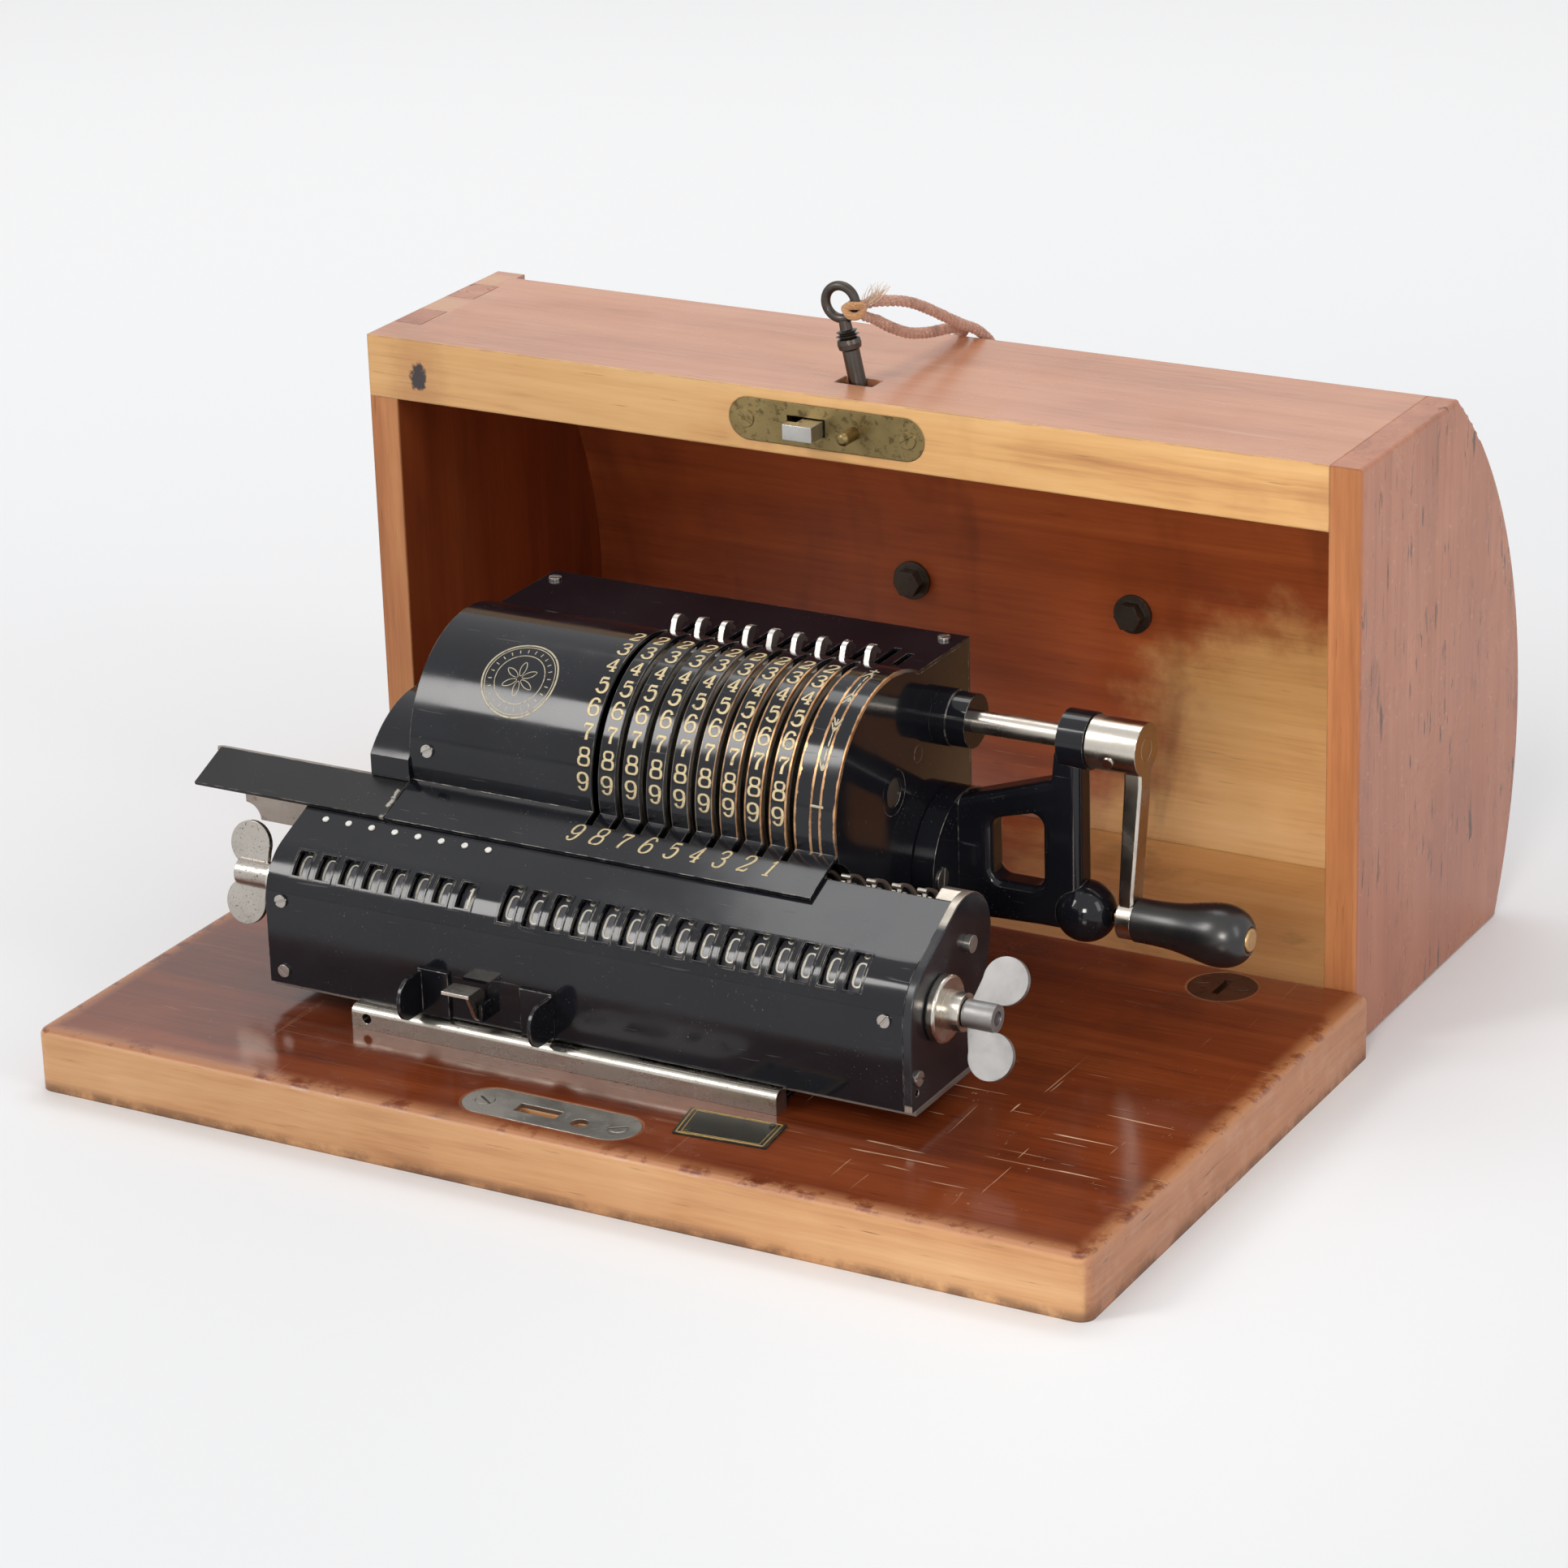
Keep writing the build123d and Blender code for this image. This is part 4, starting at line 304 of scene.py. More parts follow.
@dataclass(frozen=True)
class Metal:
    """Plated or bare metal with haze, tarnish, pits and a fine grain."""

    name: str
    colour: Colour = (0.66, 0.61, 0.54)
    stain: Colour = (0.22, 0.16, 0.11)
    gloss: float = 0.17
    haze: float = 0.22
    pits: float = 0.15
    tarnish: float = 0.25
    edge: float = 0.35
    brushed: tuple[float, float, float] = (260, 260, 260)

    def build(self) -> bpy.types.Material:
        """Returns: the material."""
        sheet = NodeSheet(self.name)
        cloud = sheet.noise(48, 4, 0.6)
        grain = sheet.noise(1, 3, 0.6, 0, sheet.place(scale=self.brushed))
        pit = sheet.noise(1700, 3, 0.65).rise(0.60, 0.66)
        pit = pit * sheet.noise(170, 3).rise(0.62 - 0.3 * self.pits, 0.72 - 0.3 * self.pits) * min(1.0,
            self.pits * 2.2)
        spots = sheet.noise(310, 5, 0.7).rise(0.70 - 0.22 * self.tarnish, 0.80 - 0.22 * self.tarnish)
        dirt = sheet.edges(self.edge * 2.2, 0.02, 0.5) * sheet.noise(110, 3).rise(0.5, 0.66)
        stained = spots.most(dirt * 0.6) * (0.4 + 0.6 * min(1.0, self.tarnish * 2))
        base = sheet.mix(cloud.rise(0.3, 0.75), self.colour, tuple(0.74 * c for c in self.colour))
        base = sheet.mix(stained * 0.55, base, self.stain)
        base = sheet.mix(pit, base, tuple(0.4 * c for c in self.stain))
        rough = self.gloss + cloud.rise(0.35,
                                        0.75) * self.haze + stained * 0.2 + pit * 0.3 + (grain - 0.5) * 0.08
        height = grain * 0.04 - pit * 0.5 + cloud * 0.2
        normal = sheet.bump(height, 0.10, 0.5, sheet.rounded(self.edge))
        metallic = 1 - pit * 0.5
        return sheet.finish({"Base Color": base, "Metallic": metallic, "Roughness": rough, "Normal": normal})


@dataclass(frozen=True)
class EndPlate:
    """The carriage's right end: painted face, nickelled lobe rim, bare edge along the bottom and rubbed
    patches on the other edges.
    """

    name: str = "end_plate_paint_and_bare_edge"

    def build(self) -> bpy.types.Material:
        """Returns: the material."""
        sheet = NodeSheet(self.name)
        x, y, z = sheet.axes()
        side = abs(sheet.facing(0))
        jag = sheet.noise(150, 4, 0.65)
        rim = side.rise(0.75, 0.45) * (z.rise(70, 74) * y.rise(-113, -109)).most(z.rise(33.5, 32.5))
        worn = sheet.edges(0.6) * jag.rise(0.42, 0.55)
        bare = rim.most(worn)
        cloud = sheet.noise(60, 4)
        paint = sheet.mix(cloud.rise(0.3, 0.8), (0.008, 0.008, 0.011), (0.017, 0.017, 0.021))
        steel = sheet.ramp(cloud, [(0.3, (0.34, 0.30, 0.25)), (0.7, (0.60, 0.56, 0.50))])
        base = sheet.mix(bare, paint, steel)
        normal = sheet.bump(cloud * 0.6 - bare * 0.3, 0.1, 0.5, sheet.rounded(0.5))
        return sheet.finish({"Base Color": base, "Metallic": bare * 0.9,
                             "Roughness": 0.2 + bare * 0.12 + cloud.rise(0.4, 0.8) * 0.12, "Normal": normal})


class Grain(Enum):
    """Which way a board's grain runs."""

    ALONG = (0.045, 1.0, 1.0)
    UPRIGHT = (1.0, 1.0, 0.05)
    DEEP = (1.0, 0.05, 1.0)


@dataclass(frozen=True)
class WoodTone:
    """The three colours of a wood and how strongly its figure and pores show."""

    light: Colour
    middle: Colour
    dark: Colour
    figure: float = 1.0
    pores: float = 0.5

    def colour(self, sheet: NodeSheet, grain: Grain, seed: float = 0.0) -> tuple[Signal, Signal]:
        """Draws the wood.

        Args:
            sheet: the finish that it is drawn in.
            grain: which way the grain runs.
            seed: shifts the pattern, so that two boards differ.

        Returns:
            The colour and the pores' mask.
        """
        run = sheet.place(scale=grain.value, shift=(seed, seed * 0.7, seed * 0.4))
        bands = sheet.noise(46, 5, 0.62, 1.1, run)
        fibre = sheet.noise(620, 3, 0.7, 0.0, run)
        patch = sheet.noise(15, 3, 0.5, 0.6)
        tone = bands * (0.62 * self.figure) + fibre * 0.22 + patch * 0.30 + (0.5 - 0.62 * self.figure * 0.5
            - 0.26)
        colour = sheet.ramp(tone, [(0.30, self.dark), (0.50, self.middle), (0.72, self.light)])
        pore = sheet.noise(780, 2, 0.5, 0.0, run).rise(0.66, 0.74) * sheet.noise(90, 3).rise(0.38, 0.62)
        pore = pore * self.pores
        return sheet.mix(pore, colour, tuple(0.28 * c for c in self.dark)), pore


@dataclass(frozen=True)
class BoardWood:
    """The base board: glossy red-brown varnish on top, rubbed golden front edge, greyed right edge."""

    name: str = "board_varnished_wood"
    top: WoodTone = WoodTone((0.27, 0.064, 0.018), (0.165, 0.033, 0.009), (0.070, 0.013, 0.005), 1.0, 0.55)
    edge: WoodTone = WoodTone((0.70, 0.415, 0.205), (0.57, 0.290, 0.125), (0.32, 0.122, 0.045), 1.0, 0.6)
    side: WoodTone = WoodTone((0.58, 0.285, 0.150), (0.43, 0.190, 0.096), (0.22, 0.085, 0.040), 1.0, 0.7)

    def build(self) -> bpy.types.Material:
        """Returns: the material."""
        sheet = NodeSheet(self.name)
        x, y, z = sheet.axes()
        up = sheet.facing(2)
        jag = sheet.noise(70, 5, 0.65)
        top, pore = self.top.colour(sheet, Grain.ALONG, 0.3)
        front, _ = self.edge.colour(sheet, Grain.ALONG, 1.3)
        side, _ = self.side.colour(sheet, Grain.DEEP, 2.1)
        rim = sheet.mix(abs(sheet.facing(0)).rise(0.5, 0.8), front, side)
        rim = sheet.mix(z.rise(5.0, 1.0) * jag.rise(0.35, 0.6) * 0.7, rim, (0.10, 0.040, 0.020))
        scuff = sheet.noise(33, 5, 0.7).rise(0.56, 0.70)
        near_edge = (y + 190.85).rise(10, 1.0).most((200 - x).rise(9, 1.0)).most((x + 200).rise(8, 1.0))
        rubbed = (near_edge * jag.rise(0.36, 0.52)).most(sheet.edges(2.2, 0.01, 0.2) * jag.rise(0.3, 0.5))
        top = sheet.mix(rubbed * 0.75, top, (0.50, 0.215, 0.085))
        spot = ((x - 130) * (x - 130) * 0.4 + (y + 120) * (y + 120)).root()
        zone = spot.rise(62, 18)
        scratch = sheet.noise(1, 2, 0.5, 0.7,
                              sheet.place(scale=(16, 520, 300), turn=(0, 0, 0.42))).rise(0.68, 0.715)
        scratch = scratch.most(sheet.noise(1, 2, 0.5, 0.9, sheet.place(scale=(420, 20, 300),
            turn=(0, 0, 0.75))).rise(0.71, 0.74))
        chips = sheet.noise(210, 4, 0.7).rise(0.66, 0.70) * sheet.noise(28, 2).rise(0.5, 0.62)
        marks = (scratch * (0.10 + zone)).least(1.0).most(chips * (zone * 0.9 + 0.12))
        top = sheet.mix(marks * 0.85, top, (0.70, 0.46, 0.28))
        grime = sheet.noise(22, 4, 0.6).rise(0.52, 0.75)
        top = sheet.mix(grime * 0.45, top, (0.060, 0.016, 0.008))
        base = sheet.mix(up.rise(0.45, 0.85), rim, top)
        rough = 0.15 + scuff * 0.16 + rubbed * 0.2 + marks * 0.35 + up.rise(0.7, 0.4) * 0.20
        height = 0 - pore * 0.5 + sheet.noise(30, 3) * 1.2 - marks * 0.4 + jag * 0.4
        normal = sheet.bump(height, 0.16, 0.5, sheet.rounded(1.6))
        return sheet.finish({"Base Color": base, "Roughness": rough, "Normal": normal, "IOR": 1.5})


class Panel(Enum):
    """Which panel of the case cover a finish is for."""

    LOCK = "lock_panel"
    BACK = "back_panel"
    ROOF = "roof_panel"
    LEFT = "case_end_left"
    RIGHT = "case_end_right"


@dataclass(frozen=True)
class CaseWood:
    """One panel of the case cover: polished outside, stained inside with a painted pool of light and, on the
    left end, painted shade, raw pine on its front edge.
    """

    panel: Panel
    grain: Grain = Grain.ALONG
    front: float = 31.95
    low: float = -185.7
    high: float = 182.0
    outside: WoodTone = WoodTone((0.62, 0.300, 0.165), (0.50, 0.210, 0.108), (0.31, 0.110, 0.052), 0.8, 0.4)
    end: WoodTone = WoodTone((0.56, 0.235, 0.130), (0.43, 0.160, 0.083), (0.25, 0.082, 0.040), 0.9, 1.0)
    stained: WoodTone = WoodTone((0.56, 0.150, 0.038), (0.40, 0.088, 0.022), (0.22, 0.042, 0.011), 0.95, 0.3)
    # The bare tone is the pale golden colour of the painted pool of light on the inside.
    bare: WoodTone = WoodTone((0.86, 0.56, 0.250), (0.76, 0.435, 0.160), (0.50, 0.215, 0.065), 1.0, 0.3)
    raw: WoodTone = WoodTone((0.80, 0.49, 0.205), (0.68, 0.365, 0.125), (0.42, 0.170, 0.050), 1.2, 0.45)
    upright: WoodTone = WoodTone((0.60, 0.270, 0.100), (0.47, 0.175, 0.060), (0.27, 0.085, 0.028), 1.2, 0.45)

    def build(self) -> bpy.types.Material:
        """Returns: the material."""
        sheet = NodeSheet(f"{self.panel.value}_wood")
        x, y, z = sheet.axes()
        ends = self.panel in (Panel.LEFT, Panel.RIGHT)
        seed = {Panel.LOCK: 0.2, Panel.BACK: 1.7, Panel.ROOF: 2.9, Panel.LEFT: 4.1,
                Panel.RIGHT: 5.3}[self.panel]
        outer, pore = (self.end if ends else self.outside).colour(sheet, self.grain, seed)
        inner, _ = self.stained.colour(sheet, self.grain, seed + 0.5)
        pale, _ = self.bare.colour(sheet, self.grain, seed + 0.9)
        pine, pine_pore = (self.upright if ends else self.raw).colour(sheet, self.grain, seed + 1.3)
        jag = sheet.noise(60, 5, 0.62)
        cloud = sheet.noise(17, 4, 0.6, 0.5)
        if self.panel is Panel.LOCK:
            within = z.rise(186.6, 186.3) * y.rise(self.front + 0.4, self.front + 1.0)
        elif self.panel is Panel.BACK:
            within = z.rise(9.6, 9.8) * y.rise(self.front + 0.4, self.front + 1.0)
        elif self.panel is Panel.ROOF:
            away = ((y - 11.35) * (y - 11.35) + (z - 76.8) * (z - 76.8)).root()
            within = away.rise(158.2, 157.6)
        elif self.panel is Panel.LEFT:
            within = x.rise(self.low - 0.5, self.low - 0.2)
        else:
            within = x.rise(self.high + 0.5, self.high + 0.2)
        # Painted light: a blotchy pool of light painted on the inside, pale golden towards the lower right
        # and along the bottom on the right.
        painted_light_pool = x.rise(10, 120) * z.rise(125, 60) * 1.2 + (jag - 0.5) * 0.9 + z.rise(40, 8) * x.rise(-60,
            60) * 0.6
        # The left end's inner face gets almost none of the painted light pool.
        if self.panel is Panel.LEFT:
            painted_light_pool = jag * 0.1
        inside = sheet.mix(painted_light_pool.rise(0.15, 0.85), inner, pale)
        stain = sheet.noise(24, 4, 0.6, 0.4, sheet.place(scale=(1, 1, 0.25))).rise(0.52, 0.72)
        inside = sheet.mix(stain * 0.4, inside, (0.07, 0.016, 0.007))
        # Painted shade: the left end's inner face is darkened.
        if self.panel is Panel.LEFT:
            inside = sheet.mix(0.45, inside, (0.10, 0.020, 0.006))
        rubbed = sheet.edges(1.6, 0.02, 0.25) * jag.rise(0.35, 0.55)
        outer = sheet.mix(rubbed * 0.6, outer, (0.46, 0.235, 0.125))
        dark_rim = sheet.edges(1.0, 0.03, 0.3) * sheet.noise(120, 4, 0.7).rise(0.52, 0.62)
        outer = sheet.mix(dark_rim * 0.8, outer, (0.055, 0.026, 0.018))
        if self.panel is Panel.LOCK:
            fingers = (x + 197.4).rise(13.0, 12.4) * (y - self.front).rise(24,
                26) * (y - self.front).rise(52, 50)
            fingers = fingers.most((x + 197.4).rise(9, 8.4) * (y - self.front).rise(66, 68)
                                   * (y - self.front).rise(86, 84))
            outer = sheet.mix(fingers * 0.55, outer, (0.56, 0.30, 0.14))
        scratch = sheet.noise(1, 2, 0.5, 0.5,
                              sheet.place(scale=(14, 330, 330), turn=(0, 0, 0.12))).rise(0.66, 0.70)
        outer = sheet.mix(scratch * 0.25, outer, (0.62, 0.40, 0.29))
        if ends:
            outer = sheet.mix(z.rise(170, 10) * 0.5, outer, (0.30, 0.090, 0.042))
            streak = sheet.noise(1, 3, 0.6, 0.3, sheet.place(scale=(300, 300, 55))).rise(0.60, 0.66)
            streak = streak * sheet.noise(26, 3).rise(0.40, 0.58)
            bruise = sheet.noise(34, 5, 0.7, 0.4, sheet.place(scale=(1, 1, 0.5))).rise(0.58, 0.72)
            outer = sheet.mix(bruise * 0.4, outer, (0.11, 0.038, 0.022))
            outer = sheet.mix(streak * 0.85, outer, (0.060, 0.022, 0.014))
        face = y.rise(self.front + 0.9, self.front + 0.35)
        knot = ((x + 176) * (x + 176) + (z - 195.5) * (z - 195.5)
                * 0.45).root() + (sheet.noise(170, 4, 0.7) - 0.5) * 9
        pine = sheet.mix(knot.rise(16, 5) * 0.35, pine, (0.42, 0.17, 0.05))
        pine = sheet.mix(knot.rise(4.4, 2.6), pine, (0.020, 0.006, 0.006))
        grime = sheet.edges(1.4, 0.02, 0.3) * jag.rise(0.38, 0.55)
        pine = sheet.mix(grime * 0.6, pine, (0.20, 0.075, 0.025))
        pine = sheet.mix(cloud.rise(0.5, 0.8) * 0.45, pine, (0.36, 0.13, 0.04))
        base = sheet.mix(within, outer, inside)
        base = sheet.mix(face, base, pine)
        rough = 0.22 + cloud.rise(0.35, 0.75) * 0.12 + within * 0.14 + face * 0.25 + rubbed * 0.1
        height = sheet.noise(26, 3) * 1.0 - pore * 0.7 - pine_pore * face * 0.6 + jag * 0.35
        normal = sheet.bump(height, 0.20, 0.5, sheet.rounded(1.0))
        return sheet.finish({"Base Color": base, "Roughness": rough, "Normal": normal,
                             "IOR": 1.45 if ends else 1.68})


@dataclass(frozen=True)
class Paint:
    """Numeral and line paint, slightly broken where it has rubbed."""

    name: str
    colour: Colour = (0.62, 0.50, 0.29)
    worn: Colour = (0.26, 0.19, 0.10)
    metallic: float = 0.25
    gloss: float = 0.38

    def build(self) -> bpy.types.Material:
        """Returns: the material."""
        sheet = NodeSheet(self.name)
        broken = sheet.noise(700, 4, 0.7)
        base = sheet.mix(broken.rise(0.50, 0.72), self.colour, self.worn)
        rough = self.gloss + broken * 0.2
        return sheet.finish({"Base Color": base, "Metallic": self.metallic, "Roughness": rough,
                             "Normal": sheet.bump(broken, 0.03, 0.5)})


@dataclass(frozen=True)
class Ebonite:
    """Turned black hard rubber with a soft shine and fine turning marks."""

    name: str = "grip_ebonite"

    def build(self) -> bpy.types.Material:
        """Returns: the material."""
        sheet = NodeSheet(self.name)
        cloud = sheet.noise(70, 4)
        rings = sheet.noise(1, 2, 0.5, 0, sheet.place(scale=(900, 20, 20)))
        base = sheet.mix(cloud.rise(0.4, 0.8), (0.0085, 0.0080, 0.0085), (0.020, 0.016, 0.014))
        normal = sheet.bump(rings * 0.2 + cloud, 0.05, 0.4, sheet.rounded(0.4))
        return sheet.finish({"Base Color": base, "Roughness": 0.22 + cloud * 0.14, "Normal": normal,
                             "IOR": 1.6})


@dataclass(frozen=True)
class Cotton:
    """Twisted cotton: short fibres across the strand, faded and soiled in patches."""

    name: str
    light: Colour = (0.70, 0.43, 0.33)
    dark: Colour = (0.40, 0.19, 0.125)

    def build(self) -> bpy.types.Material:
        """Returns: the material."""
        sheet = NodeSheet(self.name)
        fibre = sheet.noise(1, 3, 0.7, 0.6, sheet.place(scale=(900, 1500, 2600), turn=(0.5, 0.4, 0)))
        soil = sheet.noise(95, 3)
        base = sheet.mix(fibre.rise(0.3, 0.7), self.dark, self.light)
        base = sheet.mix(soil.rise(0.52, 0.72) * 0.6, base, tuple(0.6 * c for c in self.dark))
        normal = sheet.bump(fibre, 0.35, 0.8)
        return sheet.finish({"Base Color": base, "Roughness": 0.92, "Normal": normal, "Sheen Weight": 0.25,
                             "Sheen Roughness": 0.5})


@dataclass(frozen=True)
class PaleFloor:
    """The plain pale floor that the calculator stands on."""

    colour: Colour = (0.82, 0.82, 0.82)

    def build(self) -> bpy.types.Material:
        """Returns: the material."""
        sheet = NodeSheet("pale_floor")
        cloud = sheet.noise(1.2, 3)
        base = sheet.mix(cloud, self.colour, tuple(0.985 * c for c in self.colour))
        x, y, _ = sheet.axes()
        seen = sheet.node("ShaderNodeLightPath", output="Is Camera Ray")
        seen = seen.most(Signal(sheet, seen.socket.node.outputs["Is Glossy Ray"]))
        away = (y * 0.87 - x * 0.494).rise(100, 1500) * seen
        lit = sheet.mix(away, (0.0, 0.0, 0.0), (0.15, 0.145, 0.14))
        return sheet.finish({"Base Color": base, "Roughness": 0.75, "Emission Color": lit,
                             "Emission Strength": 1.0})


# ---------------------------------------------------------------- small makers


def dress(names: Sequence[str], material: bpy.types.Material) -> None:
    """Gives these CAD nodes a finish.

    Args:
        names: the nodes.
        material: what their slots get.
    """
    for name in names:
        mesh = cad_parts[name].data
        mesh.materials.clear()
        mesh.materials.append(material)
        LOG.info("dressed %s with %s", name, material.name)


def make_piece(name: str, build: Callable[[bmesh.types.BMesh], None], material: bpy.types.Material,
               smooth: bool = True) -> bpy.types.Object:
    """Makes an object from a bmesh that a function fills.

    Args:
        name: the piece's name.
        build: fills the bmesh, in metres in the model's frame.
        material: its finish.
        smooth: whether its faces are shaded smooth.

    Returns:
        The object, at the origin.
    """
    bm = bmesh.new()
    build(bm)
    for face in bm.faces:
        face.smooth = smooth
    mesh = bpy.data.meshes.new(name)
    bm.to_mesh(mesh)
    bm.free()
    mesh.materials.append(material)
    piece = bpy.data.objects.new(name, mesh)
    bpy.context.scene.collection.objects.link(piece)
    LOG.info("made %s with %d faces", name, len(mesh.polygons))
    return piece


def swept_mesh(name: str, runs: Sequence[tuple[Sequence[Sequence[float]], bool]], depth: float, sides: int,
               order: int = 3) -> bpy.types.Mesh:
    """Sweeps a round along smooth runs.

    Args:
        name: the curve's name.
        runs: for each run its points (x, y, z, thickness) and whether it closes.
        depth: the round's radius where the thickness is 1, in the points' unit.
        sides: how finely the round is divided.
        order: the spline's order, 2 for straight runs.

    Returns:
        The mesh of the sweep.
    """
    curve = bpy.data.curves.new(name, "CURVE")
    curve.dimensions = "3D"
    curve.bevel_depth = depth
    curve.bevel_resolution = sides
    curve.use_fill_caps = True
    curve.resolution_u = 5
    for points, closed in runs:
        spline = curve.splines.new("NURBS")
        spline.points.add(len(points) - 1)
        for knot, point in zip(spline.points, points):
            knot.co = (*point[:3], 1.0)
            knot.radius = point[3]
        spline.order_u = min(order, len(points))
        if closed:
            spline.use_cyclic_u = True
        else:
            spline.use_endpoint_u = True
    holder = bpy.data.objects.new(name + "_curve", curve)
    bpy.context.scene.collection.objects.link(holder)
    bpy.context.view_layer.update()
    mesh = bpy.data.meshes.new_from_object(holder.evaluated_get(bpy.context.evaluated_depsgraph_get()))
    bpy.data.objects.remove(holder)
    bpy.data.curves.remove(curve)
    return mesh


# Each numeral's pen strokes on a grid 10 wide and 14 high: (x, y, thickness), and whether the run closes.
STROKES: dict[int, list[tuple[list[tuple[float, float, float]], bool]]] = {
    0: [([(5, 14.2, 0.7), (9.6, 13.2, 1.2), (9.8, 7, 1.5), (9.6, 0.8, 1.2), (5, -0.2, 0.7), (0.4, 0.8, 1.2),
          (0.2, 7, 1.5), (0.4, 13.2, 1.2)], True)],
    1: [([(5.3, 13.6, 1.3), (5.3, 7, 1.4), (5.3, 0.4, 1.4)], False),
        ([(5.2, 13.4, 0.9), (3.6, 12.0, 0.8), (2.4, 11.6, 0.7)], False),
        ([(2.6, 0.4, 0.8), (8.0, 0.4, 0.8)], False)],
    2: [([(1.8, 10.4, 1.5), (1.6, 13.6, 0.9), (5.6, 14.8, 1.0), (9.6, 13.2, 1.5), (8.8, 8.2, 1.4),
        (3.6, 3.8, 0.9), (1.4, 1.0, 0.9)], False),
        ([(1.4, 0.8, 1.2), (5.2, 0.8, 1.3), (9.0, 0.9, 1.2), (9.3, 3.4, 0.7)], False)],
    3: [([(1.7, 11.4, 1.4), (2.4, 14.4, 0.9), (8.8, 14.4, 1.4), (8.9, 8.0, 1.3), (4.2, 7.5, 0.8)], False),
        ([(4.2, 7.5, 0.8), (9.6, 7.6, 1.3), (9.7, -0.4, 1.5), (2.4, -0.6, 0.9), (1.4, 3.0, 1.5)], False)],
    4: [([(6.9, 0.3, 1.4), (6.9, 7, 1.4), (6.9, 13.7, 1.4)], False),
        ([(6.9, 13.6, 0.9), (3.8, 8.8, 0.9), (0.7, 4.3, 0.9)], False),
        ([(0.7, 4.2, 1.0), (9.4, 4.2, 1.0)], False), ([(4.6, 0.4, 0.8), (9.2, 0.4, 0.8)], False)],
    5: [([(2.6, 13.2, 1.3), (8.6, 13.2, 1.3)], False), ([(2.6, 13.2, 0.9), (2.2, 7.6, 0.8)], False),
        ([(2.2, 7.6, 0.8), (5.0, 9.6, 1.0), (9.8, 8.6, 1.5), (9.6, 0.2, 1.5), (3.2, -0.8, 0.9),
          (1.4, 2.6, 1.5)], False)],
    6: [([(8.4, 11.4, 1.5), (7.6, 14.4, 0.9), (2.2, 14.2, 1.2), (0.6, 7.4, 1.5), (0.9, 1.6, 1.5),
          (4.8, -0.5, 0.8), (9.4, 1.2, 1.4), (9.3, 7.2, 1.4), (4.8, 9.2, 0.8), (1.4, 6.6, 0.9)], False)],
    7: [([(1.5, 12.9, 1.4), (9.0, 12.9, 1.3)], False), ([(9.0, 12.9, 0.9), (5.4, 8.2, 1.2), (4.4, 3.8, 1.5),
        (4.5, 0.2, 1.6)], False), ([(1.6, 12.9, 0.9), (1.3, 9.8, 0.8)], False)],
    8: [([(5, 14.2, 0.8), (9.0, 13.6, 1.2), (8.8, 8.2, 1.2), (5, 7.2, 0.9), (1.2, 8.2, 1.2),
        (1.0, 13.6, 1.2)], True), ([(5, 7.4, 0.9), (9.6, 6.6, 1.3), (9.8, 0.4, 1.4), (5, -0.4, 0.8),
                                    (0.2, 0.4, 1.4), (0.4, 6.6, 1.3)], True)],
    9: [([(1.6, 2.6, 1.5), (2.4, -0.4, 0.9), (7.8, -0.2, 1.2), (9.4, 6.6, 1.5), (9.1, 12.4, 1.5),
          (5.2, 14.5, 0.8), (0.6, 12.8, 1.4), (0.7, 6.8, 1.4), (5.2, 4.8, 0.8), (8.6, 7.4, 0.9)], False)],
}


@dataclass
class Numeral:
    """One painted numeral drawn with a pen of varying width, then pressed flat."""

    digit: int
    width: float
    height: float
    slant: float = 0.0
    weight: float = 0.62
    thickness: float = 0.09

    def mesh(self) -> bpy.types.Mesh:
        """Returns: the numeral about its own middle, in millimetres, lying in X and Y."""
        runs = []
        for points, closed in STROKES[self.digit]:
            placed = []
            for px, py, pen in points:
                up = (py / 14 - 0.5) * self.height
                placed.append(((px / 10 - 0.5) * self.width + self.slant * up, up, 0.0, pen))
            runs.append((placed, closed))
        mesh = swept_mesh(f"stroke_{self.digit}", runs, self.weight * 0.5, 1)
        mesh.transform(Matrix.Diagonal((1, 1, self.thickness / (self.weight * 0.75), 1)))
        return mesh


def bent_place(middle_x: float, axis_y: float, axis_z: float, radius: float,
               angle: float) -> Callable[[Vector], Vector]:
    """Wraps a flat drawing round an axis along X.

    Args:
        middle_x: where the drawing's middle lies along X.
        axis_y: the axis's place in Y.
        axis_z: its height.
        radius: the surface's radius.
        angle: the middle's angle in degrees, from the rear upwards.

    Returns:
        A function from the drawing in millimetres to the model's frame in metres.
    """

    def put(at: Vector) -> Vector:
        """Returns: the place of one point."""
        turned = math.radians(angle) - at.y / radius
        out = radius + at.z
        return Vector((middle_x + at.x, axis_y + out * math.cos(turned),
                       axis_z + out * math.sin(turned))) * MM

    return put


def add_drawing(bm: bmesh.types.BMesh, mesh: bpy.types.Mesh, put: Callable[[Vector], Vector]) -> None:
    """Adds a drawing to a bmesh, each point put in its place.

    Args:
        bm: what it is added to.
        mesh: the drawing in millimetres; it is used up.
        put: gives a point's place.
    """
    for vertex in mesh.vertices:
        vertex.co = put(vertex.co)
    mesh.update()
    bm.from_mesh(mesh)
    bpy.data.meshes.remove(mesh)


# ---------------------------------------------------------------- pieces


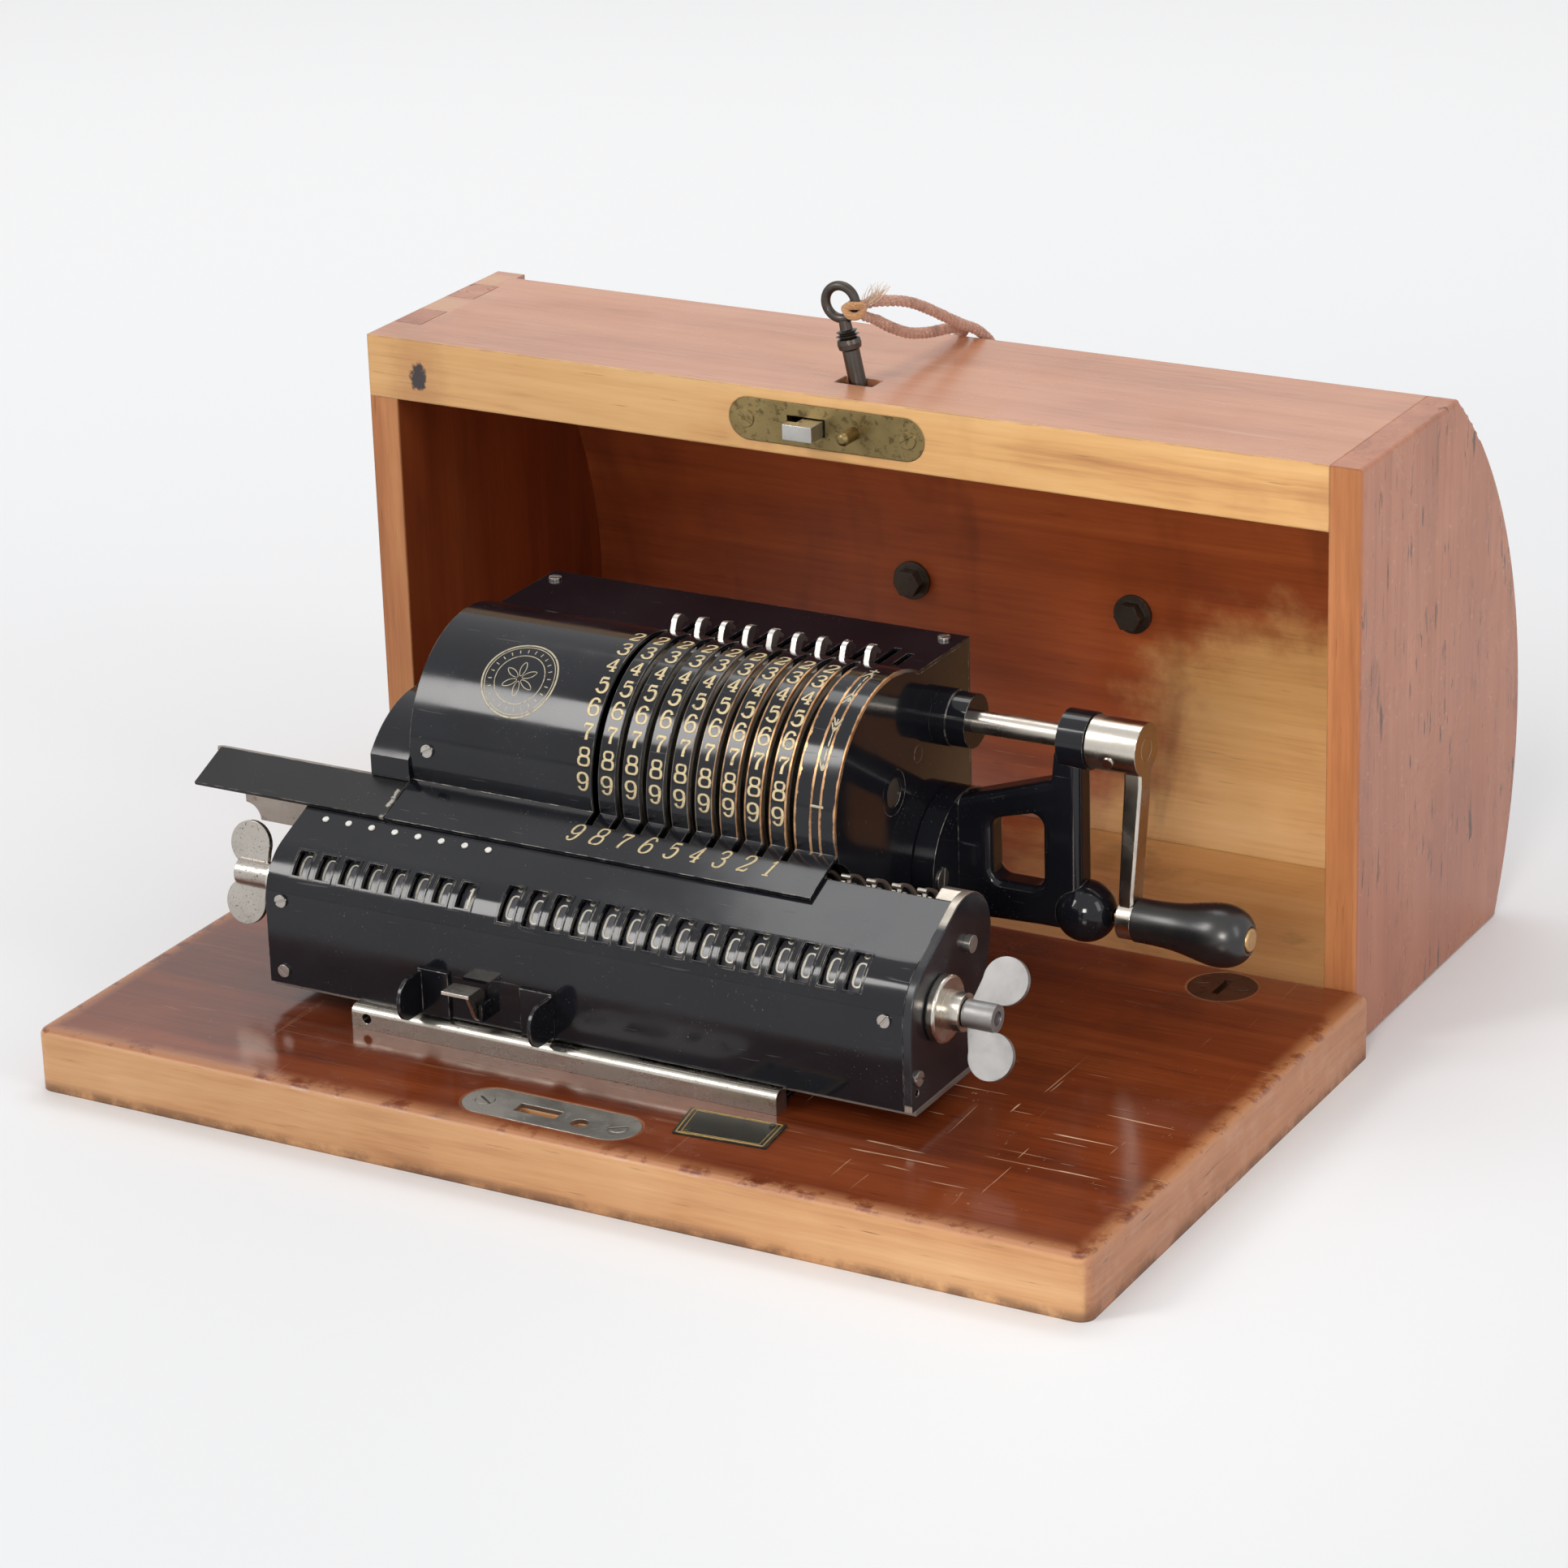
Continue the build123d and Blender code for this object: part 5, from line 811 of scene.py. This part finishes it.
@dataclass
class KeyString:
    """The cotton string on the key: it runs back over the case, down behind it and up again."""

    key_x: float = -5.26
    case_front: float = 31.948
    diameter: float = 4.0
    length: float = 272.0
    route: list[tuple[float, float, float]] = field(default_factory=lambda: [
        (1.0, 31.5, 235.6), (6.5, 43.0, 234.0), (9.2, 60.0, 225.5), (12.0, 76.0, 216.4), (13.6, 88.0, 211.2),
        (14.4, 100.5, 199.5), (15.0, 114.0, 186.0), (15.0, 124.0, 172.5), (6.5, 129.5, 163.5),
        (-5.5, 129.5, 163.5),
        (-14.0, 124.0, 172.5), (-14.0, 114.0, 186.0), (-8.0, 104.5, 197.5), (1.0, 96.5, 206.0),
        (7.6, 88.5, 211.2),
        (7.4, 76.0, 214.6), (5.6, 60.0, 216.6), (3.4, 45.0, 220.8), (0.8, 32.0, 229.0),
    ])
    knot: tuple[float, float, float] = (-6.3, 52.5, 235.1)
    strands: int = 3
    twist: float = 7.5

    def line(self) -> list[Vector]:
        """Returns: points along the route's own spline, in metres."""
        curve = bpy.data.curves.new("string_line", "CURVE")
        curve.dimensions = "3D"
        curve.resolution_u = 14
        spline = curve.splines.new("NURBS")
        spline.points.add(len(self.route) - 1)
        for knot, (dx, depth, z) in zip(spline.points, self.route):
            knot.co = ((self.key_x + dx) * MM, (self.case_front + depth) * MM, z * MM, 1.0)
        spline.order_u = 3
        spline.use_endpoint_u = True
        holder = bpy.data.objects.new("string_line", curve)
        bpy.context.scene.collection.objects.link(holder)
        bpy.context.view_layer.update()
        mesh = bpy.data.meshes.new_from_object(holder.evaluated_get(bpy.context.evaluated_depsgraph_get()))
        points = [v.co.copy() for v in mesh.vertices]
        bpy.data.objects.remove(holder)
        bpy.data.curves.remove(curve)
        bpy.data.meshes.remove(mesh)
        return points

    def twisted(self, name: str, points: Sequence[Vector], radius: float,
                turn: float = 0.0) -> bpy.types.Mesh:
        """Lays strands round a line.

        Args:
            name: the mesh's name.
            points: the line, in metres.
            radius: the whole string's radius in millimetres.
            turn: the first strand's angle.

        Returns:
            The strands as one mesh, in metres.
        """
        reach = radius * 0.52 * MM
        lines: list[list[tuple[float, float, float, float]]] = [[] for _ in range(self.strands)]
        gone = 0.0
        side = Vector((0, 0, 1))
        for n, at in enumerate(points):
            ahead = (points[min(n + 1, len(points) - 1)] - points[max(n - 1, 0)]).normalized()
            side = (side - ahead * side.dot(ahead)).normalized()
            other = ahead.cross(side)
            if n:
                gone += (at - points[n - 1]).length
            for k in range(self.strands):
                angle = turn + 2 * math.pi * (k / self.strands + gone / (self.twist * MM))
                spot = at + (side * math.cos(angle) + other * math.sin(angle)) * reach
                lines[k].append((*spot, 1.0 + 0.08 * math.sin(9 * angle + k)))
        return swept_mesh(name, [(line, False) for line in lines], radius * 0.54 * MM, 3)

    def build(self, cotton: bpy.types.Material, pale: bpy.types.Material, tan: bpy.types.Material) -> None:
        """Makes the string, its join to the key, the knot and the frayed ends.

        Args:
            cotton: the string's finish.
            pale: the frayed fibres' finish.
            tan: the knot's finish.
        """
        points = self.line()
        radius = self.diameter / 2
        fine = [points[0]]
        for a, b in zip(points, points[1:]):
            steps = max(1, round((b - a).length / 0.0007))
            fine += [a.lerp(b, (n + 1) / steps) for n in range(steps)]
        string = self.link("twisted_key_string", self.twisted("string", fine, radius), cotton)
        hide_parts("key_string")
        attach(string, "case")
        tuple(points[0])
        [tuple(p) for p in points]
        centre = Vector(self.knot) * MM
        for n, end in enumerate((points[0], points[-1])):
            inward = (points[1] - points[0] if n == 0 else points[-2] - points[-1]).normalized()
            start = end + inward * 0.0012
            middle = start.lerp(centre, 0.55) + Vector((0, 0, 0.0006 if n == 0 else -0.0006))
            steps = [start.lerp(middle, t / 6) for t in range(6)] + [middle.lerp(centre,
                t / 6) for t in range(7)]
            join = self.link(f"string_join_{n + 1}", self.twisted("join", steps, radius * 0.93, n), cotton)
            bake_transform(join)
        loops = [
            ([(-3.4, 0, 0.4), (-1, 3.0, 2.2), (2.6, 2.4, 1.2), (3.2, -1.4, -1.4), (0, -3.4, -1.6),
              (-3.0, -1.6, 0.6)], True),
            ([(-2.2, 2.6, -1.6), (1.6, 3.2, -1.2), (3.0, 0.4, 1.8), (0.2, -2.8, 2.4), (-2.8, -0.8, 1.2)],
             True),
            ([(0.4, 0.6, 3.0), (2.0, 2.6, 0.4), (0.4, 2.2, -2.8), (-2.4, 0.2, -2.0), (-2.0, -1.6, 1.4)],
             True),
        ]
        runs = [([(*(centre + Vector(p) * MM), 1.0) for p in ring], closed) for ring, closed in loops]
        knot = self.link("string_bow_knot", swept_mesh("knot", runs, 1.45 * MM, 3), tan)
        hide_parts("string_knot")
        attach(knot, "key")
        chance = Random(7)
        root = centre + Vector((2.0, 4.0, 1.0)) * MM
        hairs = []
        for _ in range(34):
            lift = chance.uniform(0.3, 1.0)
            start = root + Vector((chance.uniform(-1, 3), chance.uniform(-1, 4),
                                   chance.uniform(-0.8, 0.8))) * MM
            tip = start + Vector((chance.uniform(-2, 5), chance.uniform(2, 9), 1.5 + 5.0 * lift)) * MM
            mid = start.lerp(tip, 0.5) + Vector((chance.uniform(-2, 2), chance.uniform(-2, 2),
                                                 chance.uniform(-1.5, 1.0))) * MM
            hairs.append(([(*start, 1.0), (*mid, 0.8), (*tip, 0.25)], False))
        frayed = self.link("frayed_string_ends", swept_mesh("fray", hairs, 0.16 * MM, 1), pale)
        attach(frayed, "key")

    @staticmethod
    def link(name: str, mesh: bpy.types.Mesh, material: bpy.types.Material) -> bpy.types.Object:
        """Returns: an object of that mesh and finish, shaded smooth."""
        mesh.name = name
        mesh.materials.clear()
        mesh.materials.append(material)
        for face in mesh.polygons:
            face.use_smooth = True
            face.material_index = 0
        piece = bpy.data.objects.new(name, mesh)
        bpy.context.scene.collection.objects.link(piece)
        LOG.info("made %s with %d faces", name, len(mesh.polygons))
        return piece


@dataclass
class DrumCover:
    """The slotted drum cover's painted numerals, arrows, signs and plain badge ring."""

    axis_y: float = -50.352
    axis_z: float = 102.5
    radius: float = 42.0
    last_slot: float = 43.7
    pitch: float = 9.4
    columns: int = 9
    numeral_offset: float = -4.55
    first_angle: float = 93.5
    step: float = 11.75
    apron_front_y: float = -110.05
    apron_front_z: float = 87.0
    apron_slope: float = 23.0

    def surface(self, x: float, angle: float) -> Callable[[Vector], Vector]:
        """Returns: the placing function for a drawing on the drum."""
        return bent_place(x, self.axis_y, self.axis_z, self.radius, angle)

    def numerals(self, bm: bmesh.types.BMesh) -> None:
        """Adds the columns of numerals beside the slots."""
        for column in range(self.columns):
            x = self.last_slot - self.pitch * column + self.numeral_offset
            for digit in range(2, 10):
                mesh = Numeral(digit, 4.3, 5.9, weight=0.80).mesh()
                add_drawing(bm, mesh, self.surface(x, self.first_angle + self.step * (digit - 2)))

    def apron_numerals(self, bm: bmesh.types.BMesh) -> None:
        """Adds the slanted place numerals on the apron."""
        slope = math.radians(self.apron_slope)
        for n in range(self.columns):
            middle = 41.2 - self.pitch * n

            def put(at: Vector, middle: float = middle) -> Vector:
                """Returns: the place of one point."""
                along = 9.6 + at.y
                lift = at.z + 0.06
                return Vector((
                    middle + at.x,
                    self.apron_front_y + along * math.cos(slope) - lift * math.sin(slope),
                    self.apron_front_z + along * math.sin(slope) + lift * math.cos(slope),
                )) * MM

            add_drawing(bm, Numeral(n + 1, 4.2, 7.4, slant=0.24, weight=0.74).mesh(), put)

    def signs(self, bm: bmesh.types.BMesh) -> None:
        """Adds the two arrows for the crank's turn, with a plus and a minus."""
        shapes = [
            (53.6, 104.0, [([(0, -8.5, 0, 0.8), (0, 9.5, 0, 0.8)], False),
                           ([(-1.8, 5.6, 0, 0.6), (0, 9.8, 0, 1.1), (1.8, 5.6, 0, 0.6)], False),
                           ([(-1.6, -9.6, 0, 0.6), (0, -6.4, 0, 0.9), (1.6, -9.6, 0, 0.6)], False),
                           ([(-1.6, -7.4, 0, 0.6), (0, -4.2, 0, 0.9), (1.6, -7.4, 0, 0.6)], False)]),
            (53.6, 139.0, [([(0, -8.5, 0, 0.8), (0, 9.5, 0, 0.8)], False),
                           ([(-1.8, -5.2, 0, 0.6), (0, -9.4, 0, 1.1), (1.8, -5.2, 0, 0.6)], False),
                           ([(-1.6, 10.0, 0, 0.6), (0, 6.8, 0, 0.9), (1.6, 10.0, 0, 0.6)], False),
                           ([(-1.6, 7.8, 0, 0.6), (0, 4.6, 0, 0.9), (1.6, 7.8, 0, 0.6)], False)]),
            (53.6, 88.6, [([(-1.8, 0, 0, 0.9), (1.8, 0, 0, 0.9)], False),
                          ([(0, -1.8, 0, 0.9), (0, 1.8, 0, 0.9)], False)]),
            (53.6, 168.0, [([(-2.4, 0, 0, 1.2), (2.4, 0, 0, 1.2)], False)]),
        ]
        for x, angle, runs in shapes:
            mesh = swept_mesh("sign", runs, 0.42, 1, order=2)
            mesh.transform(Matrix.Diagonal((1, 1, 0.15, 1)))
            add_drawing(bm, mesh, self.surface(x, angle))

    def badge(self, bm: bmesh.types.BMesh) -> None:
        """Adds the blank round badge: two rings with a ring of short rays between them."""
        runs = []
        for radius, pen in ((14.2, 1.5), (13.2, 0.7), (9.4, 0.8)):
            ring = [(radius * math.cos(math.radians(10 * n)), radius * math.sin(math.radians(10 * n)), 0.0,
                     pen) for n in range(36)]
            runs.append((ring, True))
        for n in range(24):
            angle = math.radians(15 * n + 7.5)
            runs.append(([(r * math.cos(angle), r * math.sin(angle), 0.0, 0.8) for r in (10.6, 11.3, 12.0)],
                         False))
        for n in range(6):
            angle = math.radians(60 * n + 30)
            petal = [(0, 0, 0.0, 0.5), (4.2 * math.cos(angle - 0.35), 4.2 * math.sin(angle - 0.35), 0.0, 0.7),
                     (7.4 * math.cos(angle), 7.4 * math.sin(angle), 0.0, 0.8),
                     (4.2 * math.cos(angle + 0.35), 4.2 * math.sin(angle + 0.35), 0.0, 0.7)]
            runs.append((petal, True))
        mesh = swept_mesh("badge", runs, 0.24, 1)
        mesh.transform(Matrix.Diagonal((1, 1, 0.2, 1)))
        add_drawing(bm, mesh, self.surface(-67.8, 133.0))

    def build(self, paint: bpy.types.Material, faint: bpy.types.Material) -> None:
        """Makes the painted pieces.

        Args:
            paint: the numerals' cream paint.
            faint: the badge's thinner paint.
        """
        for name, maker, finish in (
            ("drum_cover_numerals", self.numerals, paint), ("apron_numerals", self.apron_numerals, paint),
            ("crank_turn_signs", self.signs, faint), ("blank_badge_ring", self.badge, faint),
        ):
            piece = make_piece(name, maker, finish)
            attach(piece, "base")


@dataclass
class Register:
    """A row of number wheels behind its windows in the carriage cover."""

    name: str
    body: str
    first_x: float
    pitch: float
    count: int
    low_angle: float
    high_angle: float
    wheel_radius: float = 17.5
    axis_y: float = -116.852
    axis_z: float = 60.3
    last_digit: int = 0
    lean: float = 0.5

    def wheel_digits(self, bm: bmesh.types.BMesh) -> None:
        """Adds the ten numerals round every wheel, the one at rest behind the window."""
        middle = (self.low_angle + self.high_angle) / 2 + self.lean
        for n in range(self.count):
            x = self.first_x + self.pitch * n
            for digit in range(10):
                mesh = Numeral(digit, 3.5, 8.6, weight=0.74, thickness=0.10).mesh()
                offset = 1 if self.last_digit and n == self.count - 1 else 0
                put = bent_place(x, self.axis_y, self.axis_z, self.wheel_radius,
                                 middle + 36 * (digit - offset))
                add_drawing(bm, mesh, put)

    def build(self, paint: bpy.types.Material) -> None:
        """Makes the wheels' numerals.

        Args:
            paint: the numerals' finish.
        """
        digits = make_piece(f"{self.name}_wheel_numerals", self.wheel_digits, paint)
        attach(digits, self.body)


@dataclass
class BlankLabel:
    """The gilt border of the small blank label plate on the board."""

    corners: tuple[tuple[float, float], ...] = ((39.4, -168.25), (35.8, -149.45), (70.8, -147.75),
                                                (72.7, -165.75))
    top: float = 23.32

    def border(self, bm: bmesh.types.BMesh) -> None:
        """Adds two fine frames inside the plate's edge."""
        middle = [sum(c[n] for c in self.corners) / 4 for n in range(2)]
        runs = []
        for share, pen in ((0.93, 1.0), (0.84, 0.55)):
            ring = [tuple(m + share * (v - m) for m, v in zip(middle, corner)) for corner in self.corners]
            for start, end in zip(ring, ring[1:] + ring[:1]):
                runs.append(([(*start, 0.0, pen), (*end, 0.0, pen)], False))
        mesh = swept_mesh("frame", runs, 0.34, 1, order=2)
        mesh.transform(Matrix.Diagonal((1, 1, 0.2, 1)))
        add_drawing(bm, mesh, lambda at: Vector((at.x, at.y, self.top + at.z)) * MM)

    def build(self, gilt: bpy.types.Material) -> None:
        """Makes the border in the gilt finish."""
        piece = make_piece("blank_label_border", self.border, gilt)
        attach(piece, "base")


@dataclass
class Studio:
    """Floor, lights and camera."""

    camera_at: tuple[float, float, float] = (817.63, -1458.62, 737.61)
    yaw: float = 29.583
    pitch: float = 21.533
    roll: float = -1.734
    lens: float = 117.71
    floor_size: float = 14.0

    def floor(self) -> None:
        """Lays the pale floor."""

        def flat(bm: bmesh.types.BMesh) -> None:
            """Fills the bmesh with one large square."""
            bmesh.ops.create_grid(bm, x_segments=1, y_segments=1, size=self.floor_size / 2)

        make_piece("pale_floor", flat, PaleFloor().build(), smooth=False)

    def lamp(self, name: str, at: Sequence[float], to: Sequence[float], size: Sequence[float], power: float,
             tint: Colour = (1, 1, 1), spread: float = 180) -> None:
        """Hangs a soft rectangular lamp.

        Args:
            name: its name.
            at: where it hangs, in metres.
            to: what it points at.
            size: its width and height.
            power: its power in watts.
            tint: its colour.
            spread: how wide its beam is, in degrees.
        """
        light = bpy.data.lights.new(name, "AREA")
        light.shape = "RECTANGLE"
        light.size, light.size_y = size
        light.energy = power
        light.color = tint
        light.spread = math.radians(spread)
        holder = bpy.data.objects.new(name, light)
        holder.location = at
        holder.rotation_euler = (Vector(to) - Vector(at)).to_track_quat("-Z", "Y").to_euler()
        bpy.context.scene.collection.objects.link(holder)

    def lights(self) -> None:
        """Sets the soft lamps and a pale world that shows white behind the object."""
        self.lamp("key_softbox", (-1.25, -1.55, 1.55), (0, 0, 0.08), (0.6, 0.9), 20, (1.0, 0.98, 0.96))
        self.lamp("top_softbox", (-0.3, 0.75, 2.0), (0, 0, 0.1), (1.5, 0.6), 10)
        self.lamp("inside_fill", (0.42, -1.00, 0.46), (0.13, 0.12, 0.06), (0.25, 0.25), 0.2,
                  (1.0, 0.95, 0.88), 32)
        self.lamp("right_strip", (1.9, -0.5, 1.1), (0, 0, 0.1), (0.5, 1.2), 6)
        world = bpy.data.worlds.new("studio")
        bpy.context.scene.world = world
        world.use_nodes = True
        tree = world.node_tree
        tree.nodes.clear()
        path = tree.nodes.new("ShaderNodeLightPath")
        seen = tree.nodes.new("ShaderNodeMath")
        seen.operation = "MAXIMUM"
        tree.links.new(path.outputs["Is Camera Ray"], seen.inputs[0])
        tree.links.new(path.outputs["Is Glossy Ray"], seen.inputs[1])
        soft = tree.nodes.new("ShaderNodeBackground")
        soft.inputs["Color"].default_value = (0.95, 0.97, 1.0, 1)
        soft.inputs["Strength"].default_value = 0.67
        white = tree.nodes.new("ShaderNodeBackground")
        white.inputs["Color"].default_value = (0.90, 0.90, 0.90, 1)
        white.inputs["Strength"].default_value = 1.0
        mix = tree.nodes.new("ShaderNodeMixShader")
        tree.links.new(seen.outputs[0], mix.inputs[0])
        tree.links.new(soft.outputs[0], mix.inputs[1])
        tree.links.new(white.outputs[0], mix.inputs[2])
        out = tree.nodes.new("ShaderNodeOutputWorld")
        tree.links.new(mix.outputs[0], out.inputs["Surface"])

    def camera(self) -> None:
        """Sets the camera at the photograph's view."""
        data = bpy.data.cameras.new("view")
        data.sensor_width = 36
        data.lens = self.lens
        yaw, pitch, roll = (math.radians(v) for v in (self.yaw, self.pitch, self.roll))
        back = Vector((math.sin(yaw) * math.cos(pitch), -math.cos(yaw) * math.cos(pitch), math.sin(pitch)))
        right = Vector((0, 0, 1)).cross(back).normalized()
        up = back.cross(right)
        turned_right = right * math.cos(roll) + up * math.sin(roll)
        turned_up = up * math.cos(roll) - right * math.sin(roll)
        holder = bpy.data.objects.new("view", data)
        holder.matrix_world = Matrix.Translation(Vector(self.camera_at) * MM) @ Matrix(
            (turned_right, turned_up, back)
        ).transposed().to_4x4()
        data.clip_start, data.clip_end = 0.05, 40
        bpy.context.scene.collection.objects.link(holder)
        bpy.context.scene.camera = holder

    def build(self) -> None:
        """Makes the whole studio."""
        self.camera()
        self.floor()
        self.lights()
        bpy.context.scene.view_settings.view_transform = "Standard"


@dataclass
class Machine:
    """The black and nickel machine: finishes of its CAD nodes and its painted pieces."""

    def dress(self) -> None:
        """Gives every node of the machine its finish."""
        lacquer = Lacquer("machine_lacquer").build()
        dress(["side_frame_left", "side_frame_right", "left_shell", "rear_cover", "crank_bracket",
               "shaft_bearings",
               "carriage_cover", "carriage_end_left", "base_plate"], lacquer)
        dress(["drum_cover"], Lacquer("drum_cover_lacquer", Wear.SLOTS, gloss=0.10).build())
        dress(["dust_shelf"],
              Lacquer("dust_shelf_lacquer", Wear.SEAM, (0.007, 0.0065, 0.007), gloss=0.34).build())
        dress(["carriage_end_right"], EndPlate().build())
        nickel = Metal("polished_nickel", pits=0.05, tarnish=0.15).build()
        dress(["crank_shaft", "crank_arm", "bearing_flanges", "release_lever"], nickel)
        dress(["result_wing"], Metal("brushed_nickel", (0.33, 0.32, 0.315), gloss=0.36, pits=0.05,
                                     tarnish=0.15, brushed=(900, 60, 60)).build())
        dress([f"setting_lever_{n}" for n in range(1, 10)],
              Metal("lever_nickel", (0.72, 0.70, 0.66), gloss=0.24, pits=0.05).build())
        dress(["counter_wing"],
              Metal("pitted_nickel", (0.50, 0.465, 0.42), gloss=0.26, pits=0.85, tarnish=0.50).build())
        dress(["front_rail"], Metal("rail_nickel", (0.60, 0.56, 0.49), gloss=0.20, pits=0.55, tarnish=0.5,
                                    brushed=(30, 900, 900)).build())
        dress(["machine_screws", "carriage_screws"],
              Metal("screw_steel", (0.52, 0.49, 0.45), gloss=0.26, pits=0.3, tarnish=0.5).build())
        dress(["carriage_base", "rear_guide"],
              Metal("bare_steel", (0.40, 0.38, 0.35), gloss=0.32, pits=0.35, tarnish=0.5).build())
        dress(["shelf_bracket"],
              Metal("bracket_steel", (0.36, 0.31, 0.27), (0.20, 0.13, 0.09), 0.36, 0.2, 0.4, 0.5).build())
        dress(["pinwheel_drum", "carry_levers", "idler_gear", "result_transfer", "counter_transfer"],
              Metal("oiled_steel", (0.36, 0.33, 0.29), (0.12, 0.08, 0.05), 0.3, 0.2, 0.3, 0.6).build())
        dress(["finger_tabs"], Lacquer("tab_lacquer", Wear.EDGES, gloss=0.16, edge=0.7).build())
        dress(["result_wheels", "counter_wheels"],
              Lacquer("wheel_lacquer", Wear.PLAIN, (0.055, 0.055, 0.062), gloss=0.12, edge=0.2).build())
        dress(["stop_spindle"],
              Metal("worn_brass", (0.56, 0.36, 0.16), (0.16, 0.07, 0.03), 0.24, 0.2, 0.2, 0.5).build())
        dress(["grip"], Ebonite().build())
        dress(["decimal_studs"],
              Paint("stud_enamel", (0.74, 0.72, 0.66), (0.40, 0.36, 0.30), 0.0, 0.4).build())


@dataclass
class CaseAndBoard:
    """The base board, its small fittings and the lifted case cover."""

    def dress(self) -> None:
        """Gives every node of the board and case its finish."""
        dress(["base_board"], BoardWood().build())
        dress(["strike_plate"],
              Metal("strike_steel", (0.47, 0.44, 0.40), (0.20, 0.14, 0.09), 0.30, 0.2, 0.45, 0.6).build())
        dress(["label_plate"], Lacquer("blank_label_paint", Wear.EDGES, (0.020, 0.018, 0.014),
                                       (0.50, 0.36, 0.14), 0.3, edge=0.3).build())
        dress(["floor_disc"],
              Metal("disc_bronze", (0.16, 0.085, 0.055), (0.05, 0.025, 0.015), 0.42, 0.2, 0.3, 0.6).build())
        dress(["lock_panel"], CaseWood(Panel.LOCK).build())
        dress(["back_panel"], CaseWood(Panel.BACK).build())
        dress(["roof_panel"], CaseWood(Panel.ROOF).build())
        dress(["case_end_left"], CaseWood(Panel.LEFT, Grain.UPRIGHT).build())
        dress(["case_end_right"], CaseWood(Panel.RIGHT, Grain.UPRIGHT).build())
        dress(["handle_fittings", "case_handle"],
              Metal("dark_iron", (0.13, 0.11, 0.09), (0.08, 0.04, 0.02), 0.36, 0.2, 0.4, 0.6).build())
        dress(["lock_case"], Metal("tarnished_brass", (0.30, 0.22, 0.095), (0.07, 0.05, 0.025), 0.30, 0.2,
                                   0.35, 0.8).build())
        dress(["lock_bolt"],
              Metal("bolt_steel", (0.55, 0.53, 0.50), gloss=0.24, pits=0.2, tarnish=0.3).build())
        dress(["key"],
              Metal("key_iron", (0.105, 0.090, 0.080), (0.11, 0.045, 0.022), 0.26, 0.18, 0.35, 0.55).build())


def build_calculator() -> None:
    """Builds the camera and the string first, then every dressed and painted piece."""
    studio = Studio()
    studio.build()
    cotton = Cotton("pink_cotton").build()
    KeyString().build(cotton, Cotton("frayed_cotton", (0.80, 0.60, 0.45), (0.55, 0.33, 0.20)).build(),
                      Cotton("knot_cotton", (0.66, 0.36, 0.16), (0.34, 0.14, 0.05)).build())
    Machine().dress()
    CaseAndBoard().dress()
    cream = Paint("cream_numeral_paint").build()
    DrumCover().build(cream, Paint("thin_gold_paint", (0.46, 0.40, 0.28), (0.16, 0.13, 0.09)).build())
    BlankLabel().build(Paint("label_gilt", (0.55, 0.38, 0.14), (0.22, 0.14, 0.05), 0.8, 0.35).build())
    wheel_paint = Paint("wheel_numeral_paint", (0.86, 0.80, 0.66), (0.60, 0.52, 0.38), 0.0, 0.35).build()
    Register("result", "result_register", 88.95, -9.4, 15, 116.0, 154.0).build(wheel_paint)
    Register("counter", "counter_register", -125.6, 9.4, 8, 122.0, 148.5, last_digit=1).build(wheel_paint)


def main() -> None:
    """Builds everything."""
    logging.basicConfig(level=logging.INFO, format="%(name)s: %(message)s")
    build_calculator()


if __name__ == "__main__":
    main()
